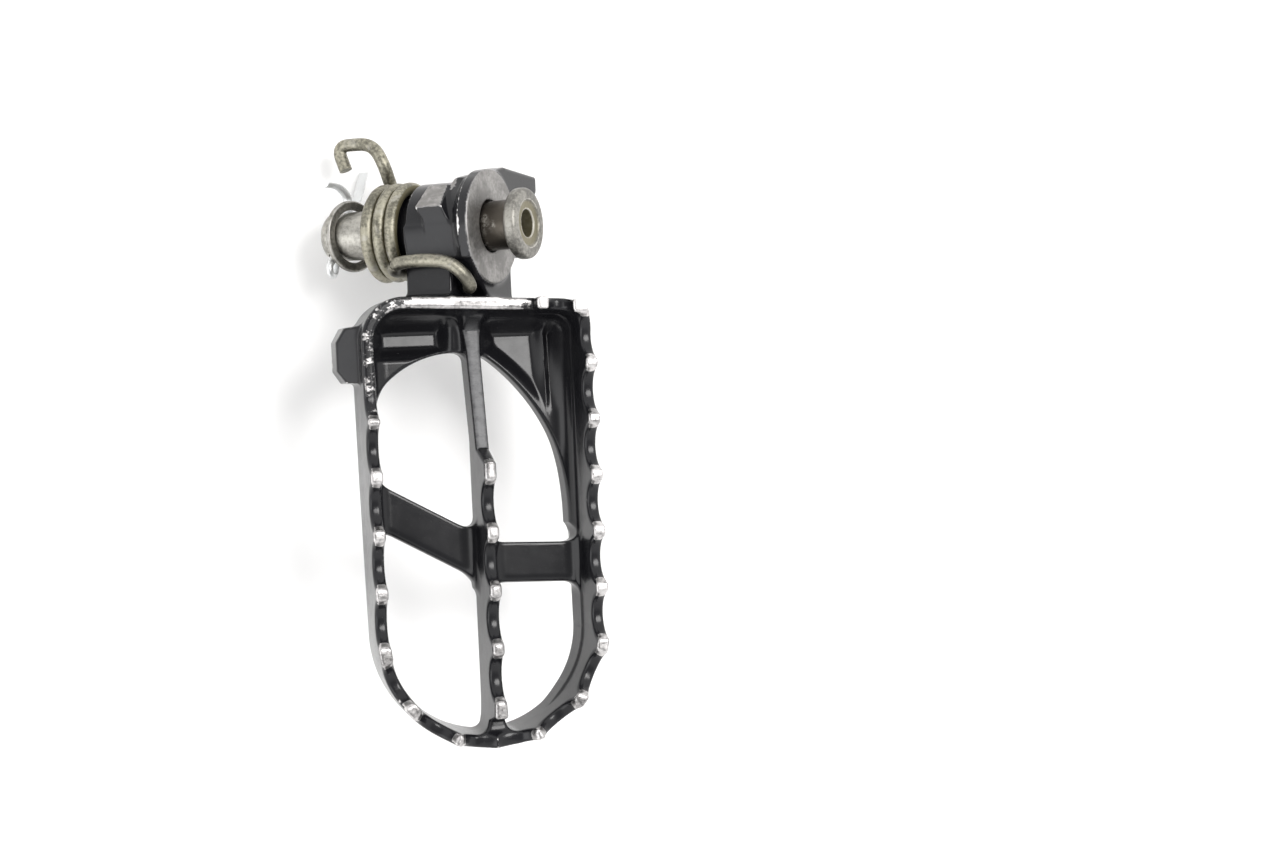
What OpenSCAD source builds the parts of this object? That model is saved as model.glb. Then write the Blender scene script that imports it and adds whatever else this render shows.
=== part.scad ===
// Folding off-road foot peg with pivot pin, return spring, washer and split pin.
// Origin: on the pivot axis, in the middle of the hinge knuckle. +Z is up from the tread,
// -Y runs out along the peg to its tip, +X is towards the headed end of the pin.

/* [Tread] */
// Outside width of the tread across the two side walls
tread_w = 47.4; // [40:0.1:56]
// Distance from the pivot axis to the outermost point of the tip
tip_y = 105; // [98:0.5:120]
// Distance from the pivot axis to the outer face of the inboard wall
inboard_y = 13.8; // [13.5:0.1:14.5]
// Sideways position of the middle of the tread
tread_x = 0.3; // [-1:0.1:1]
// Thickness of the rim wall
wall_t = 2.5; // [2:0.1:3.2]
// Height of the tooth tops above the pivot axis
tooth_z = 14; // [13:0.1:16]
// Height of the scallop bottoms above the pivot axis
scallop_z = 10.4; // [9.5:0.1:11]
// Lowest edge of the rim beside the knuckle
rim_low_z = -3; // [-4:0.1:-2]
// Rise of the lower edge of the rim from the middle to the tip
rim_rise = 3; // [0:0.1:4]
// Corner radius of the rim beside the side lug
corner_rear_r = 9; // [6:0.5:10]
// Corner radius of the rim beside the pin head
corner_front_r = 6.5; // [5:0.5:8]

// Slant of the inboard wall
wall_slant = 2.6; // [0:0.1:3]

/* [Teeth] */
// Tooth spacing along the side walls
tooth_pitch = 11.5; // [11:0.1:12]
// Radius of the scallops between the teeth
scallop_r = 4.55; // [4:0.05:4.8]
// Number of scallops on the wall beside the pin head
front_scallops = 5; // [3:1:5]
// Number of scallops on the wall beside the side lug
rear_scallops = 4; // [2:1:4]
// Number of scallops on the centre rib
rib_scallops = 4; // [2:1:4]

/* [Rib, crossbar and web] */
// Sideways position of the centre rib
rib_x = 0.8; // [0:0.1:1.5]
// Thickness of the centre rib
rib_t = 2.5; // [2:0.1:3.5]
// Underside of the centre rib
rib_low_z = 2; // [1:0.1:4]
// Top face of the crossbar
bar_z = 4; // [3:0.1:6]
// Thickness of the crossbar
bar_t = 2.6; // [2:0.1:4]
// Width of the crossbar across its length
bar_w = 8.2; // [6:0.1:10]
// Top face of the web between the inboard wall and the arch
web_z = 1.5; // [0.5:0.1:3]
// Depth of the two shallow pockets in the web
pocket_depth = 1.3; // [0.8:0.1:2]

/* [Knuckle] */
// Tilt of the pivot axis out of the tread plane
axis_tilt = 40; // [38:0.5:42]
// Radius of the knuckle barrel
knuckle_r = 9.4; // [9:0.1:10]
// Radius of the ground side face around the pin hole
face_r = 11.4; // [10.5:0.1:12]
// Ground side face, measured along the axis from the origin
face_s = 7.34; // [7:0.01:8]
// Spring side of the knuckle, measured along the axis from the origin
spring_side_s = -7.6; // [-8:0.1:-7.5]
// Diameter of the pin hole
bore_d = 10.2; // [10.1:0.01:10.3]
// Countersink at the mouth of the pin hole
bore_chamfer = 0.5; // [0.2:0.1:0.8]
// Outer diameter of the boss the spring sits on
boss_d = 14; // [13:0.1:14.2]
// Length of the spring boss
boss_len = 11; // [9:0.1:11.2]
// Height of the ground flat on the stop lug above the pivot axis
stop_h = 10.6; // [10.3:0.1:11]

/* [Pivot pin] */
// Shank diameter
pin_d = 10; // [9.9:0.01:10.05]
// Head diameter
head_d = 14.4; // [13:0.1:16]
// Head thickness
head_t = 2.8; // [2:0.1:3.5]
// Inner face of the head along the axis
head_s = 12.95; // [12.5:0.05:13.5]
// Far end of the shank along the axis
pin_end_s = -30.3; // [-31:0.1:-30.2]
// Diameter of the blind hole in the head
pin_hole_d = 5.6; // [4:0.1:6]
// Depth of the blind hole
pin_hole_deep = 24; // [10:1:30]
// Diameter of the cross hole for the split pin
cross_d = 2.6; // [2.4:0.05:2.7]
// Position of the cross hole along the axis
cross_s = -27.7; // [-27.8:0.05:-27.65]

/* [Return spring] */
// Wire diameter
wire_d = 2.7; // [2.5:0.05:2.7]
// Mean coil radius
coil_r = 8.8; // [8.75:0.05:9]
// Coil pitch
coil_pitch = 2.73; // [2.72:0.01:2.75]
// Number of coils
coil_turns = 3.4; // [3.4:0.01:3.41]

/* [Washer and split pin] */
// Washer outer diameter
washer_d = 14.8; // [14:0.1:15]
// Washer hole diameter
washer_hole_d = 10.9; // [10.85:0.05:11.2]
// Washer thickness
washer_t = 1.2; // [1:0.1:1.2]
// Middle of the washer along the axis
washer_s = -24.85; // [-24.9:0.05:-24.6]
// Lean of the loose washer on the pin
washer_lean = 16; // [10:1:16]
// Split pin diameter with both legs together
split_d = 2.2; // [2:0.05:2.3]

/* [Hidden] */
$fn = 64;
e = 0.01;
half_w = tread_w / 2;
tip_c = -(tip_y - half_w);
mid_r = half_w - wall_t / 2;
wall_h = tooth_z - rim_low_z;
rear_y0 = -38;
front_y0 = -28.4;
rib_y0 = -50;
sc_z = scallop_z + scallop_r;
arch_l = [-2.5, -46.1, 20.8];
arch_r = [-21.1, -59.8, 41.6];
wire_r = wire_d / 2;

// ---- frame helpers: local +Z along the pivot axis, local +X down and forward ----
module on_axis() {
    rotate([0, 90 - axis_tilt, 0]) children();
}

// a solid between two stations on the pivot axis
module turned(s0, s1, r0, r1) {
    translate([0, 0, s0]) cylinder(h = s1 - s0, r1 = r0, r2 = r1);
}

// ---- tread outlines ----
module outline(inset) {
    w = half_w - inset;
    y1 = -inboard_y - inset;
    rr = corner_rear_r - inset;
    rf = corner_front_r - inset;
    rm = max(rr, rf);
    difference() {
        union() {
            translate([tread_x, tip_c]) circle(r = w, $fn = 128);
            translate([tread_x - w, tip_c]) square([2 * w, y1 - tip_c - rm]);
            translate([tread_x - w + rr, y1 - rm - e]) square([2 * w - rr - rf, rm + e]);
            translate([tread_x - w + rr, y1 - rr]) circle(r = rr);
            translate([tread_x + w - rf, y1 - rf]) circle(r = rf);
            translate([tread_x + w - rf - e, y1 - rm - e]) square([rf + e, rm - rf + e]);
            translate([tread_x - w, y1 - rm - e]) square([rr + e, rm - rr + e]);
        }
        // the inboard wall runs slightly out of square
        translate([-12, y1]) rotate([0, 0, -wall_slant]) square([60, 20]);
    }
}

// the arched edge of the web, one arc each side of the rib
module arches() {
    intersection() {
        translate([arch_l[0], arch_l[1]]) circle(r = arch_l[2], $fn = 128);
        translate([-40, arch_l[1]]) square([40 + rib_x, 40]);
    }
    intersection() {
        translate([arch_r[0], arch_r[1]]) circle(r = arch_r[2], $fn = 128);
        translate([rib_x, arch_r[1]]) square([40, 60]);
    }
}

module web_2d() {
    difference() {
        outline(wall_t / 2);
        arches();
        translate([-40, -140]) square([40 + rib_x, 140 + arch_l[1] + e]);
        translate([rib_x - e, -140]) square([40, 140 + arch_r[1] + e]);
    }
}

// ---- rim wall with its teeth ----
module side_scallop(x, y) {
    translate([x, y, sc_z]) rotate([0, 90, 0]) cylinder(h = 8, r = scallop_r, center = true);
}

module tip_scallop(a) {
    translate([tread_x, tip_c, sc_z]) rotate([0, 0, a]) translate([mid_r, 0, 0])
        rotate([0, 90, 0]) cylinder(h = 9, r = scallop_r, center = true);
}

module rim() {
    x_rear = tread_x - mid_r;
    x_front = tread_x + mid_r;
    difference() {
        translate([0, 0, rim_low_z]) linear_extrude(wall_h) difference() {
            outline(0);
            outline(wall_t);
        }
        // scallops along both side walls
        for (i = [0 : rear_scallops - 1])
            side_scallop(x_rear, rear_y0 - (i + 0.5) * tooth_pitch);
        for (i = [0 : front_scallops - 1])
            side_scallop(x_front, front_y0 - (i + 0.5) * tooth_pitch * 0.987);
        side_scallop(x_front, front_y0 + 5.4);
        // scallops around the tip
        tip_scallop(204.5);
        tip_scallop(235.5);
        for (a = [-8, 8]) tip_scallop(270 + a);
        tip_scallop(304.5);
        tip_scallop(334);
        // plain low stretch from the rear corner along the inboard wall
        translate([-40, -33.5, scallop_z]) cube([40 + 11.9, 40, 20]);
        translate([-40, -33.4, sc_z]) rotate([0, 90, 0]) cylinder(h = 30, r = scallop_r);
        translate([16.9, -12, scallop_z + 2.4]) rotate([90, 0, 0]) cylinder(h = 8, r = 2.4);
        translate([14.5, -20, scallop_z + 2.4]) cube([4.8, 8, 10]);
        rim_underside();
    }
}

// sloping cut that thins the rim towards the tip
module rim_underside() {
    translate([-60, -48, rim_low_z]) rotate([-atan(rim_rise / 56), 0, 0]) translate([0, -90, -30])
        cube([120, 90, 30]);
}

// ---- centre rib ----
module rib() {
    difference() {
        translate([rib_x - rib_t / 2, 0, 0]) rotate([90, 0, 90]) linear_extrude(rib_t)
            polygon([
                [-inboard_y - 1, rim_low_z], [-26, rim_low_z + 1.2], [-43, rib_low_z],
                [-tip_y + 2, rib_low_z], [-tip_y + 2, scallop_z],
                [-tip_y + wall_t + 3, scallop_z - 0.6], [-98.6, tooth_z],
                [-47.6, tooth_z], [-44.8, 8], [-21, 2.9], [-18, 5.5], [-inboard_y - 1, scallop_z - 1]
            ]);
        for (i = [0 : rib_scallops - 1])
            side_scallop(rib_x, rib_y0 - (i + 0.5) * 11.6);
    }
    // gussets where the rib meets the inboard wall and the tip
    translate([rib_x, -inboard_y - wall_t + 0.3, rim_low_z + 1]) gusset(3.4, 3.6, scallop_z - rim_low_z - 3);
    translate([rib_x, -tip_y + wall_t - 0.4, rib_low_z]) rotate([0, 0, 180])
        gusset(3.2, 4, scallop_z - rib_low_z - 1);
}

module gusset(w, l, h) {
    linear_extrude(h) polygon([[-w, 0], [w, 0], [rib_t / 2 - 0.2, -l], [-rib_t / 2 + 0.2, -l]]);
}

// ---- crossbar ----
module crossbar() {
    translate([0, 0, bar_z - bar_t]) linear_extrude(bar_t) intersection() {
        outline(wall_t / 2);
        union() {
            // sloping arm
            translate([rib_x, -67.3]) rotate([0, 0, -29.4]) translate([-30, -bar_w / 2]) square([31, bar_w]);
            // straight arm
            translate([rib_x - 1, -68]) rotate([0, 0, -2.6]) translate([0, -bar_w / 2]) square([30, bar_w]);
        }
    }
}

// ---- web with two shallow pockets and a raised strip ----
module web() {
    difference() {
        translate([0, 0, rim_low_z]) linear_extrude(web_z - rim_low_z) web_2d();
        // pocket beside the rear wall
        translate([0, 0, web_z - pocket_depth]) linear_extrude(5) pocket_2d(-17.8, -4.3, -25.2, -19.8);
        // pocket beside the front wall, open at the arch
        translate([0, 0, web_z - pocket_depth]) linear_extrude(5) difference() {
            pocket_2d(4.6, 15.2, -38, -20.6);
            arch_land();
        }
        translate([0, 0, web_z - pocket_depth]) linear_extrude(5) pocket_2d(16.6, 18.1, -37.6, -21.4);
    }
}

module pocket_2d(x0, x1, y0, y1) {
    r = min(0.7, (x1 - x0) / 2 - 0.01);
    translate([x0 + r, y0]) square([x1 - x0 - 2 * r, y1 - y0]);
    translate([x0, y0 + r]) square([x1 - x0, y1 - y0 - 2 * r]);
    for (x = [x0 + r, x1 - r], y = [y0 + r, y1 - r]) translate([x, y]) circle(r = r, $fn = 32);
}

// strip of full thickness kept along the arched edge
module arch_land() {
    translate([arch_r[0], arch_r[1]]) circle(r = arch_r[2] + 1.4, $fn = 128);
}

// ---- faceted lug on the rear wall ----
module side_lug() {
    x0 = tread_x - half_w;
    difference() {
        translate([0, 0, rim_low_z + 1]) linear_extrude(8.4) polygon([
            [x0 + 1, -19.2], [x0 - 2.2, -19.6], [x0 - 3.8, -22.4], [x0 - 3.8, -28.2],
            [x0 - 2.2, -30.6], [x0 + 1, -30.8]
        ]);
        translate([x0 - 4, -32, rim_low_z + 6.6]) rotate([0, -34, 0]) cube([9, 14, 6]);
    }
}

// ---- hinge knuckle, neck, stop arm, stop lug and spring boss ----
module neck_2d() {
    polygon([
        [-knuckle_r, 0], [knuckle_r, 0], [14.4, -5.5], [13.6, -inboard_y - 1.6],
        [-10.2, -inboard_y - 1.6], [-9.7, -6]
    ]);
}

module arm_2d() {
    polygon([
        [-3.7, 9.8], [9.2, 12.6], [24.3, 11.5], [24.3, 8.2],
        [19.5, 3.2], [15.4, -1.2], [14.4, -6], [0, -6], [-6, 5]
    ]);
}

module stop_lug_2d() {
    polygon([
        [-stop_h * 0.66 - 3.9, stop_h * 0.75 - 3.9], [-stop_h * 0.66 + 1.3, stop_h * 0.75 + 0.7],
        [-3.2, 7], [-4, 0], [-knuckle_r + 0.25, -1.9]
    ]);
}

// the lug narrows towards the back of its flat and slants as it runs down the barrel
module stop_lug() {
    difference() {
        translate([0, 0, -6]) linear_extrude(10) stop_lug_2d();
        translate([-10.9, 4.1, -4.6]) rotate([-18.5, -24.7, 0]) translate([-20, -20, -20]) cube([40, 40, 20]);
        translate([-10.9, 4.1, 1.5]) rotate([-16.1, -4.6, 0]) translate([-20, -20, 0]) cube([40, 40, 20]);
    }
}

// room for the inner leg of the spring, which crosses the corner of the neck
module leg_notch_2d() {
    polygon([
        [-13.2, -7], [-9.3, -7], [-5.4, -11.3], [-2.6, -13.4], [-0.6, -14.8], [-0.6, -20], [-13.2, -20]
    ]);
}

module knuckle_body() {
    on_axis() {
        turned(spring_side_s, 3.2, knuckle_r, knuckle_r);
        turned(3.2, 5.2, knuckle_r, face_r);
        turned(5.2, face_s, face_r, face_r);
        turned(spring_side_s - boss_len, spring_side_s + 1, boss_d / 2, boss_d / 2);
        translate([0, 0, spring_side_s]) linear_extrude(6.6 - spring_side_s) neck_2d();
        translate([0, 0, 1.2]) linear_extrude(5.2) arm_2d();
        stop_lug();
    }
}

module knuckle() {
    difference() {
        knuckle_body();
        // pin hole and its countersink
        on_axis() {
            turned(spring_side_s - boss_len - 1, face_s + 1, bore_d / 2, bore_d / 2);
            turned(face_s - bore_chamfer, face_s + 0.1, bore_d / 2, bore_d / 2 + bore_chamfer + 0.1);
            // notch that takes the inner leg of the spring
            translate([0, 0, 2.6]) linear_extrude(9) leg_notch_2d();
        }
        // underside of the neck, level with the rim
        translate([-40, -30, -60 + rim_low_z - 0.4]) cube([80, 24, 60]);
        // top of the neck, just under the rim
        translate([-40, -inboard_y - 4, scallop_z - 5.2]) rotate([50, 0, 0]) cube([80, 30, 14]);
        // nothing of the neck inside the tread
        translate([-40, -60, -40]) cube([80, 60 - inboard_y - 1.2, 80]);
    }
}

module peg_casting() {
    color([0.10, 0.10, 0.11]) {
        rim();
        difference() {
            union() {
                rib();
                crossbar();
                web();
            }
            rim_underside();
        }
        side_lug();
        knuckle();
    }
}

// ---- pin ----
module pivot_pin() {
    color([0.55, 0.54, 0.50]) difference() {
        on_axis() {
            turned(pin_end_s + 1.2, head_s + 0.5, pin_d / 2, pin_d / 2);
            turned(pin_end_s, pin_end_s + 1.2, pin_d / 2 - 1.2, pin_d / 2);
            turned(head_s - 0.6, head_s, pin_d / 2, pin_d / 2 + 0.5);
            turned(head_s, head_s + 0.7, head_d / 2 - 0.6, head_d / 2);
            turned(head_s + 0.7, head_s + head_t - 0.8, head_d / 2, head_d / 2);
            turned(head_s + head_t - 0.8, head_s + head_t, head_d / 2, head_d / 2 - 0.8);
        }
        on_axis() {
            turned(head_s + head_t - 0.4, head_s + head_t + 1, 4.7, 4.7);
            turned(head_s + head_t - pin_hole_deep, head_s + head_t + 1, pin_hole_d / 2, pin_hole_d / 2);
            translate([0, 0, cross_s]) rotate([0, 0, -30]) rotate([90, 0, 0])
                cylinder(h = 20, d = cross_d, center = true);
        }
    }
}

// ---- washer ----
module washer() {
    color([0.28, 0.27, 0.26]) on_axis()
    translate([0, 0, washer_s]) rotate([0, -washer_lean, 0]) difference() {
        turned(-washer_t / 2, washer_t / 2, washer_d / 2, washer_d / 2);
        turned(-washer_t, washer_t, washer_hole_d / 2, washer_hole_d / 2);
    }
}

// ---- wire swept along a list of points ----
function unit(v) = v / norm(v);
function tangent(p, i) = unit(p[min(i + 1, len(p) - 1)] - p[max(i - 1, 0)]);
function carried(n, t) = unit(n - (n * t) * t);
function frames(p, n, i = 0, out = []) =
    i == len(p) ? out : frames(p, carried(n, tangent(p, i)), i + 1,
        concat(out, [[carried(n, tangent(p, i)), tangent(p, i)]]));

module sweep(path, section, up) {
    k = len(section);
    f = frames(path, up);
    pts = [for (i = [0 : len(path) - 1], j = [0 : k - 1])
        path[i] + section[j][0] * f[i][0] + section[j][1] * cross(f[i][1], f[i][0])];
    sides = [for (i = [0 : len(path) - 2], j = [0 : k - 1])
        let (a = i * k + j, b = i * k + (j + 1) % k) each [[a, b, b + k], [a, b + k, a + k]]];
    caps = [[for (j = [k - 1 : -1 : 0]) j], [for (j = [0 : k - 1]) (len(path) - 1) * k + j]];
    polyhedron(points = pts, faces = concat(sides, caps), convexity = 10);
}

function ring(r, n) = [for (j = [0 : n - 1]) [r * cos(360 * j / n), -r * sin(360 * j / n)]];

// quadratic bends through the corners of a polyline, m steps each
function bend(a, b, c, ra, rc, m) = let (p = b + unit(a - b) * ra, q = b + unit(c - b) * rc)
    [for (i = [0 : m]) let (t = i / m) (1 - t) * (1 - t) * p + 2 * t * (1 - t) * b + t * t * q];
function rounded(p, r, m) = concat([p[0]],
    [for (i = [1 : len(p) - 2]) each bend(p[i - 1], p[i], p[i + 1], r[i], r[i], m)], [p[len(p) - 1]]);

// ---- torsion spring: points are [down and forward, inboard, along the axis] ----
leg_b_s = spring_side_s - wire_r - 0.2;
leg_a_s = leg_b_s - coil_turns * coil_pitch;
turn0 = -90 - 360 * coil_turns;
function coil_at(t) = let (a = turn0 + 360 * coil_turns * t)
    [-coil_r * cos(a), coil_r * sin(a), leg_a_s + (leg_b_s - leg_a_s) * t];
coil_n = 84;
ca = cos(turn0);
sa = sin(turn0);
coil = [for (i = [0 : coil_n]) coil_at(i / coil_n)];
hook = rounded([
    [2.6, 14.0, leg_a_s - 8.7], [2.7, 19.3, leg_a_s - 10.7], [2.7, 19.1, leg_a_s - 2.0],
    [3.0, 14.2, leg_a_s + 0.2], [-coil_r * ca + 2.2 * sa, coil_r * sa - 2.4 * ca, leg_a_s], coil_at(0)
], [0, 2.6, 3.4, 1.5, 1.2, 0], 5);
inner_leg = rounded([
    coil_at(1), [-12.1, -8.3, leg_b_s - 0.7], [-12.2, -6.9, leg_b_s + 1.0],
    [-11.9, -6.7, -2.0], [-11.3, -7.3, 3.0], [-9.8, -10.1, 5.6], [-7.8, -12.35, 5.9]
], [0, 2.2, 1.2, 2.2, 2.0, 1.4, 0], 5);
spring_path = concat(
    [for (i = [0 : len(hook) - 2]) hook[i]], coil, [for (i = [1 : len(inner_leg) - 1]) inner_leg[i]]
);

module return_spring() {
    color([0.50, 0.48, 0.42]) on_axis() sweep(spring_path, ring(wire_r, 12), [1, 0, 0]);
}

// ---- split pin: two half-round legs and an eye ----
half = [for (j = [6 : -1 : 0]) [split_d / 2 * cos(30 * j), split_d / 2 * sin(30 * j)]];
eye_r = 1.5;
eye_y = -7.7;
leg_up = rounded([
    [0.02, -6.4, 0], [0.02, 7.2, 0], [2.6, 11.4, 0], [2.4, 17.9, 0]
], [0, 2, 2, 0], 5);
leg_out = rounded([
    [-0.02, -6.4, 0], [-0.02, 9.8, 0], [-5.5, 9.7, 0], [-10.4, 6.9, 0]
], [0, 2.6, 2.4, 0], 6);

module split_pin() {
    color([0.72, 0.72, 0.70]) on_axis() translate([0, 0, cross_s]) rotate([0, 0, -30]) {
        sweep(leg_up, [for (q = half) [q[1], -q[0]]], [1, 0, 0]);
        sweep(leg_out, [for (q = half) [-q[1], q[0]]], [1, 0, 0]);
        translate([0, eye_y, 0]) rotate_extrude($fn = 48)
            translate([eye_r, 0]) circle(d = split_d / 2, $fn = 24);
    }
}

peg_casting();
pivot_pin();
return_spring();
washer();
split_pin();
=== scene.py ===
import math

import bmesh
import bpy
import numpy as np
from mathutils import Matrix, Vector


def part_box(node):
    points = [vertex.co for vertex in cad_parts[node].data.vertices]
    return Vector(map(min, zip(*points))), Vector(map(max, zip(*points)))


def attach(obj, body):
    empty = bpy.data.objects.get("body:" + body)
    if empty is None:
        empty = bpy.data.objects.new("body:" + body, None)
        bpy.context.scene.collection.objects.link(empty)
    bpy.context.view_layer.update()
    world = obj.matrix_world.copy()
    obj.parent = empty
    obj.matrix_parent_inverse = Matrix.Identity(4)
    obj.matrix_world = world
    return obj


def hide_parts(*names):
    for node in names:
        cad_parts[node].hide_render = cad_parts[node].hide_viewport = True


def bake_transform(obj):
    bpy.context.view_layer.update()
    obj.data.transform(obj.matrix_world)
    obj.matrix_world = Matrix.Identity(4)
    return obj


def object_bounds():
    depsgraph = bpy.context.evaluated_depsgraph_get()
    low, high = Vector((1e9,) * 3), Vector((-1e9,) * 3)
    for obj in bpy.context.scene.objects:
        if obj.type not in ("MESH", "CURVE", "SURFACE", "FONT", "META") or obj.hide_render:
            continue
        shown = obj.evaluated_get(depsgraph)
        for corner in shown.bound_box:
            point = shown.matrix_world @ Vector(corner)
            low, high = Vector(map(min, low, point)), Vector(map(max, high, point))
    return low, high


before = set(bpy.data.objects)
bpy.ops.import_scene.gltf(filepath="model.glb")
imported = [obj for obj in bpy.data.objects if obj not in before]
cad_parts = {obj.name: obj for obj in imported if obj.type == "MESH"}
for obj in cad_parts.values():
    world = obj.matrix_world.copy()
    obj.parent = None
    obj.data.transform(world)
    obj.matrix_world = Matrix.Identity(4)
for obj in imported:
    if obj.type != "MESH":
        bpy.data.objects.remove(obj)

bl_info = {
    "name": "Folding foot peg",
    "version": (1, 0, 0),
    "blender": (4, 5, 0),
    "location": "View3D > Sidebar > Foot Peg",
    "description": "Builds the cast peg, its pin, return spring, washer and split pin on the packed frame",
    "category": "Object",
}

MM = 0.001
CAD_LOW, CAD_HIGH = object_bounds()
CAST_LOW, CAST_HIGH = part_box("peg_casting")
PIVOT_TILT = math.radians(40)
ALONG = np.array([math.cos(PIVOT_TILT), 0.0, math.sin(PIVOT_TILT)])
ACROSS = np.array([math.sin(PIVOT_TILT), 0.0, -math.cos(PIVOT_TILT)])
INBOARD = np.array([0.0, 1.0, 0.0])
SLOPE_STEP = 0.02  # millimetres either side of a point, for a field's slope
BEND_REACH = 0.45  # millimetres round a point, for how sharp or hollow the surface is there
FLOOR_HALF = 1.6  # metres
FLOOR_GAP = 0.0004
AIM = (0, -0.04, 0)  # the lamps' aim, the middle of the tread


# ---------------------------------------------------------------- settings

def length(label, text, value, low=0.0, high=0.2):
    """A length shown in the scene's units; value, low and high are in metres."""
    return bpy.props.FloatProperty(
        name=label, description=text, default=value, min=low, max=high,
        precision=5, unit="LENGTH", subtype="DISTANCE",
    )


def paint(label, text, value):
    return bpy.props.FloatVectorProperty(
        name=label, description=text, default=value, size=3, min=0.0, max=1.0, subtype="COLOR",
    )


def share(label, text, value, low=0.0, high=1.0):
    return bpy.props.FloatProperty(
        name=label, description=text, default=value, min=low, max=high, subtype="FACTOR",
    )


def angle(label, text, degrees):
    return bpy.props.FloatProperty(
        name=label, description=text, default=math.radians(degrees), unit="ROTATION", subtype="ANGLE",
    )


class PegTread(bpy.types.PropertyGroup):
    """Sizes of the toothed tread"""

    half_width: length("Half width", "Half of the outside width of the rim", 0.0237)
    centre_x: length("Sideways place", "Middle of the tread from the pivot", 0.0003, -0.01)
    tip: length("Tip", "Outermost point of the rim along the peg", CAST_LOW.y, -0.2, 0.0)
    inboard: length("Inboard face", "Outer face of the inboard wall", -0.0138, -0.1, 0.0)
    wall: length("Wall", "Thickness of the rim wall", 0.0025)
    tooth_top: length("Tooth height", "Height of the tooth tops above the pivot axis", 0.0140)
    scallop_floor: length("Scallop floor", "Height of the scallop bottoms", 0.0104)
    rim_low: length("Rim underside", "Lower edge of the rim beside the knuckle", -0.003, -0.02)
    rim_rise: length("Rim rise", "How far the lower edge rises from the middle to the tip", 0.003)
    rear_corner: length("Rear corner", "Corner radius on the side of the spring", 0.009)
    front_corner: length("Front corner", "Corner radius on the side of the pin head", 0.0065)
    wall_slant: angle("Wall slant", "How far the inboard wall runs out of square", 2.6)
    lean_root: angle("Draft at the root", "Lean of the rim walls beside the knuckle", 1.5)
    lean_tip: angle("Draft at the tip", "Lean of the rim walls at the tip", 4.2)
    scallop_radius: length("Scallop radius", "Radius of the scallops between the teeth", 0.00455)
    pitch: length("Tooth pitch", "Distance from tooth to tooth", 0.0115)
    mesh_step: length("Mesh step", "Grid step of the casting's surface", 0.00034, 0.0002, 0.002)
    mesh_share: share("Faces kept", "Share of the faces kept where the surface is flat", 0.42)


class PegKnuckle(bpy.types.PropertyGroup):
    """Sizes of the hinge knuckle, which are the packed part's"""

    barrel_radius: length("Barrel", "Radius of the knuckle barrel", 0.0094)
    face_radius: length("Ground face", "Radius of the ground face round the pin", 0.0114)
    face_place: length("Ground face place", "Ground face along the pivot axis", 0.00734)
    spring_side: length("Spring side", "End of the barrel beside the spring", -0.0076, -0.1)
    bore: length("Pin hole", "Radius of the pin hole", 0.0051)
    boss_radius: length("Boss", "Radius of the boss inside the spring", 0.007)
    boss_length: length("Boss length", "How far the boss stands out of the barrel", 0.011)


class PegPin(bpy.types.PropertyGroup):
    """Sizes of the pivot pin, washer and split pin"""

    shank: length("Shank", "Radius of the pin", 0.005)
    head: length("Head", "Radius of the head", 0.0072)
    head_place: length("Head place", "Inner face of the head along the axis", 0.01295)
    head_thick: length("Head thickness", "Thickness of the head", 0.0028)
    tail: length("Tail", "Far end of the pin along the axis", -0.0303, -0.1)
    blind_hole: length("Blind hole", "Radius of the hole in the head", 0.0028)
    blind_deep: length("Blind hole depth", "Depth of the hole in the head", 0.024)
    cross_hole: length("Cross hole", "Radius of the hole for the split pin", 0.0013)
    cross_place: length("Cross hole place", "Split pin along the axis", -0.0277, -0.1)
    washer: length("Washer", "Radius of the washer", 0.0074)
    washer_hole: length("Washer hole", "Radius of its hole", 0.00545)
    washer_thick: length("Washer thickness", "Thickness of the washer", 0.0012)
    washer_place: length("Washer place", "Middle of the washer along the axis", -0.02485, -0.1)
    washer_lean: angle("Washer lean", "Lean of the loose washer on the pin", 16)
    split: length("Split pin", "Radius of both legs together", 0.0011)
    split_turn: angle("Split pin turn", "Turn of the split pin about the pivot axis", -30)


class PegSpring(bpy.types.PropertyGroup):
    """Sizes of the return spring"""

    wire: length("Wire", "Radius of the wire", 0.00135)
    coil: length("Coil", "Radius of the coil's centre line", 0.0088)
    pitch: length("Pitch", "Distance from turn to turn", 0.00273)
    turns: bpy.props.FloatProperty(name="Turns", description="Number of turns", default=3.4, min=1, max=8)
    sides: bpy.props.IntProperty(name="Sides", description="Faces round the wire", default=20, min=8, max=48)


class PegFinish(bpy.types.PropertyGroup):
    """Colours and wear"""

    black: paint("Black paint", "Satin black paint on the casting", (0.008, 0.008, 0.0095))
    bare: paint("Bare steel", "Steel where the paint has worn through", (0.56, 0.545, 0.54))
    scuffed: paint("Scuffed paint", "Rubbed paint on the low part of the rib", (0.14, 0.14, 0.143))
    ground: paint("Ground steel", "Ground faces round the pin", (0.34, 0.33, 0.32))
    spring_light: paint("Spring steel", "Worn wire of the spring", (0.30, 0.285, 0.228))
    # The spring's dark olive colour goes into the grooves between the coils and onto the coil's inner side:
    # partly real grease, partly painted shade.
    spring_dirt_and_shade: paint("Spring dirt", "Old grease between the coils", (0.085, 0.072, 0.03))
    pin_light: paint("Pin steel", "Bright worn steel of the pin", (0.46, 0.445, 0.405))
    pin_dark: paint("Pin scale", "Dark scale on the pin", (0.075, 0.066, 0.055))
    washer: paint("Washer steel", "Dark steel of the washer", (0.30, 0.29, 0.26))
    zinc: paint("Zinc", "Plated split pin", (0.72, 0.73, 0.73))
    wear: share("Edge wear", "How much paint has gone from the edges", 0.5)


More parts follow.
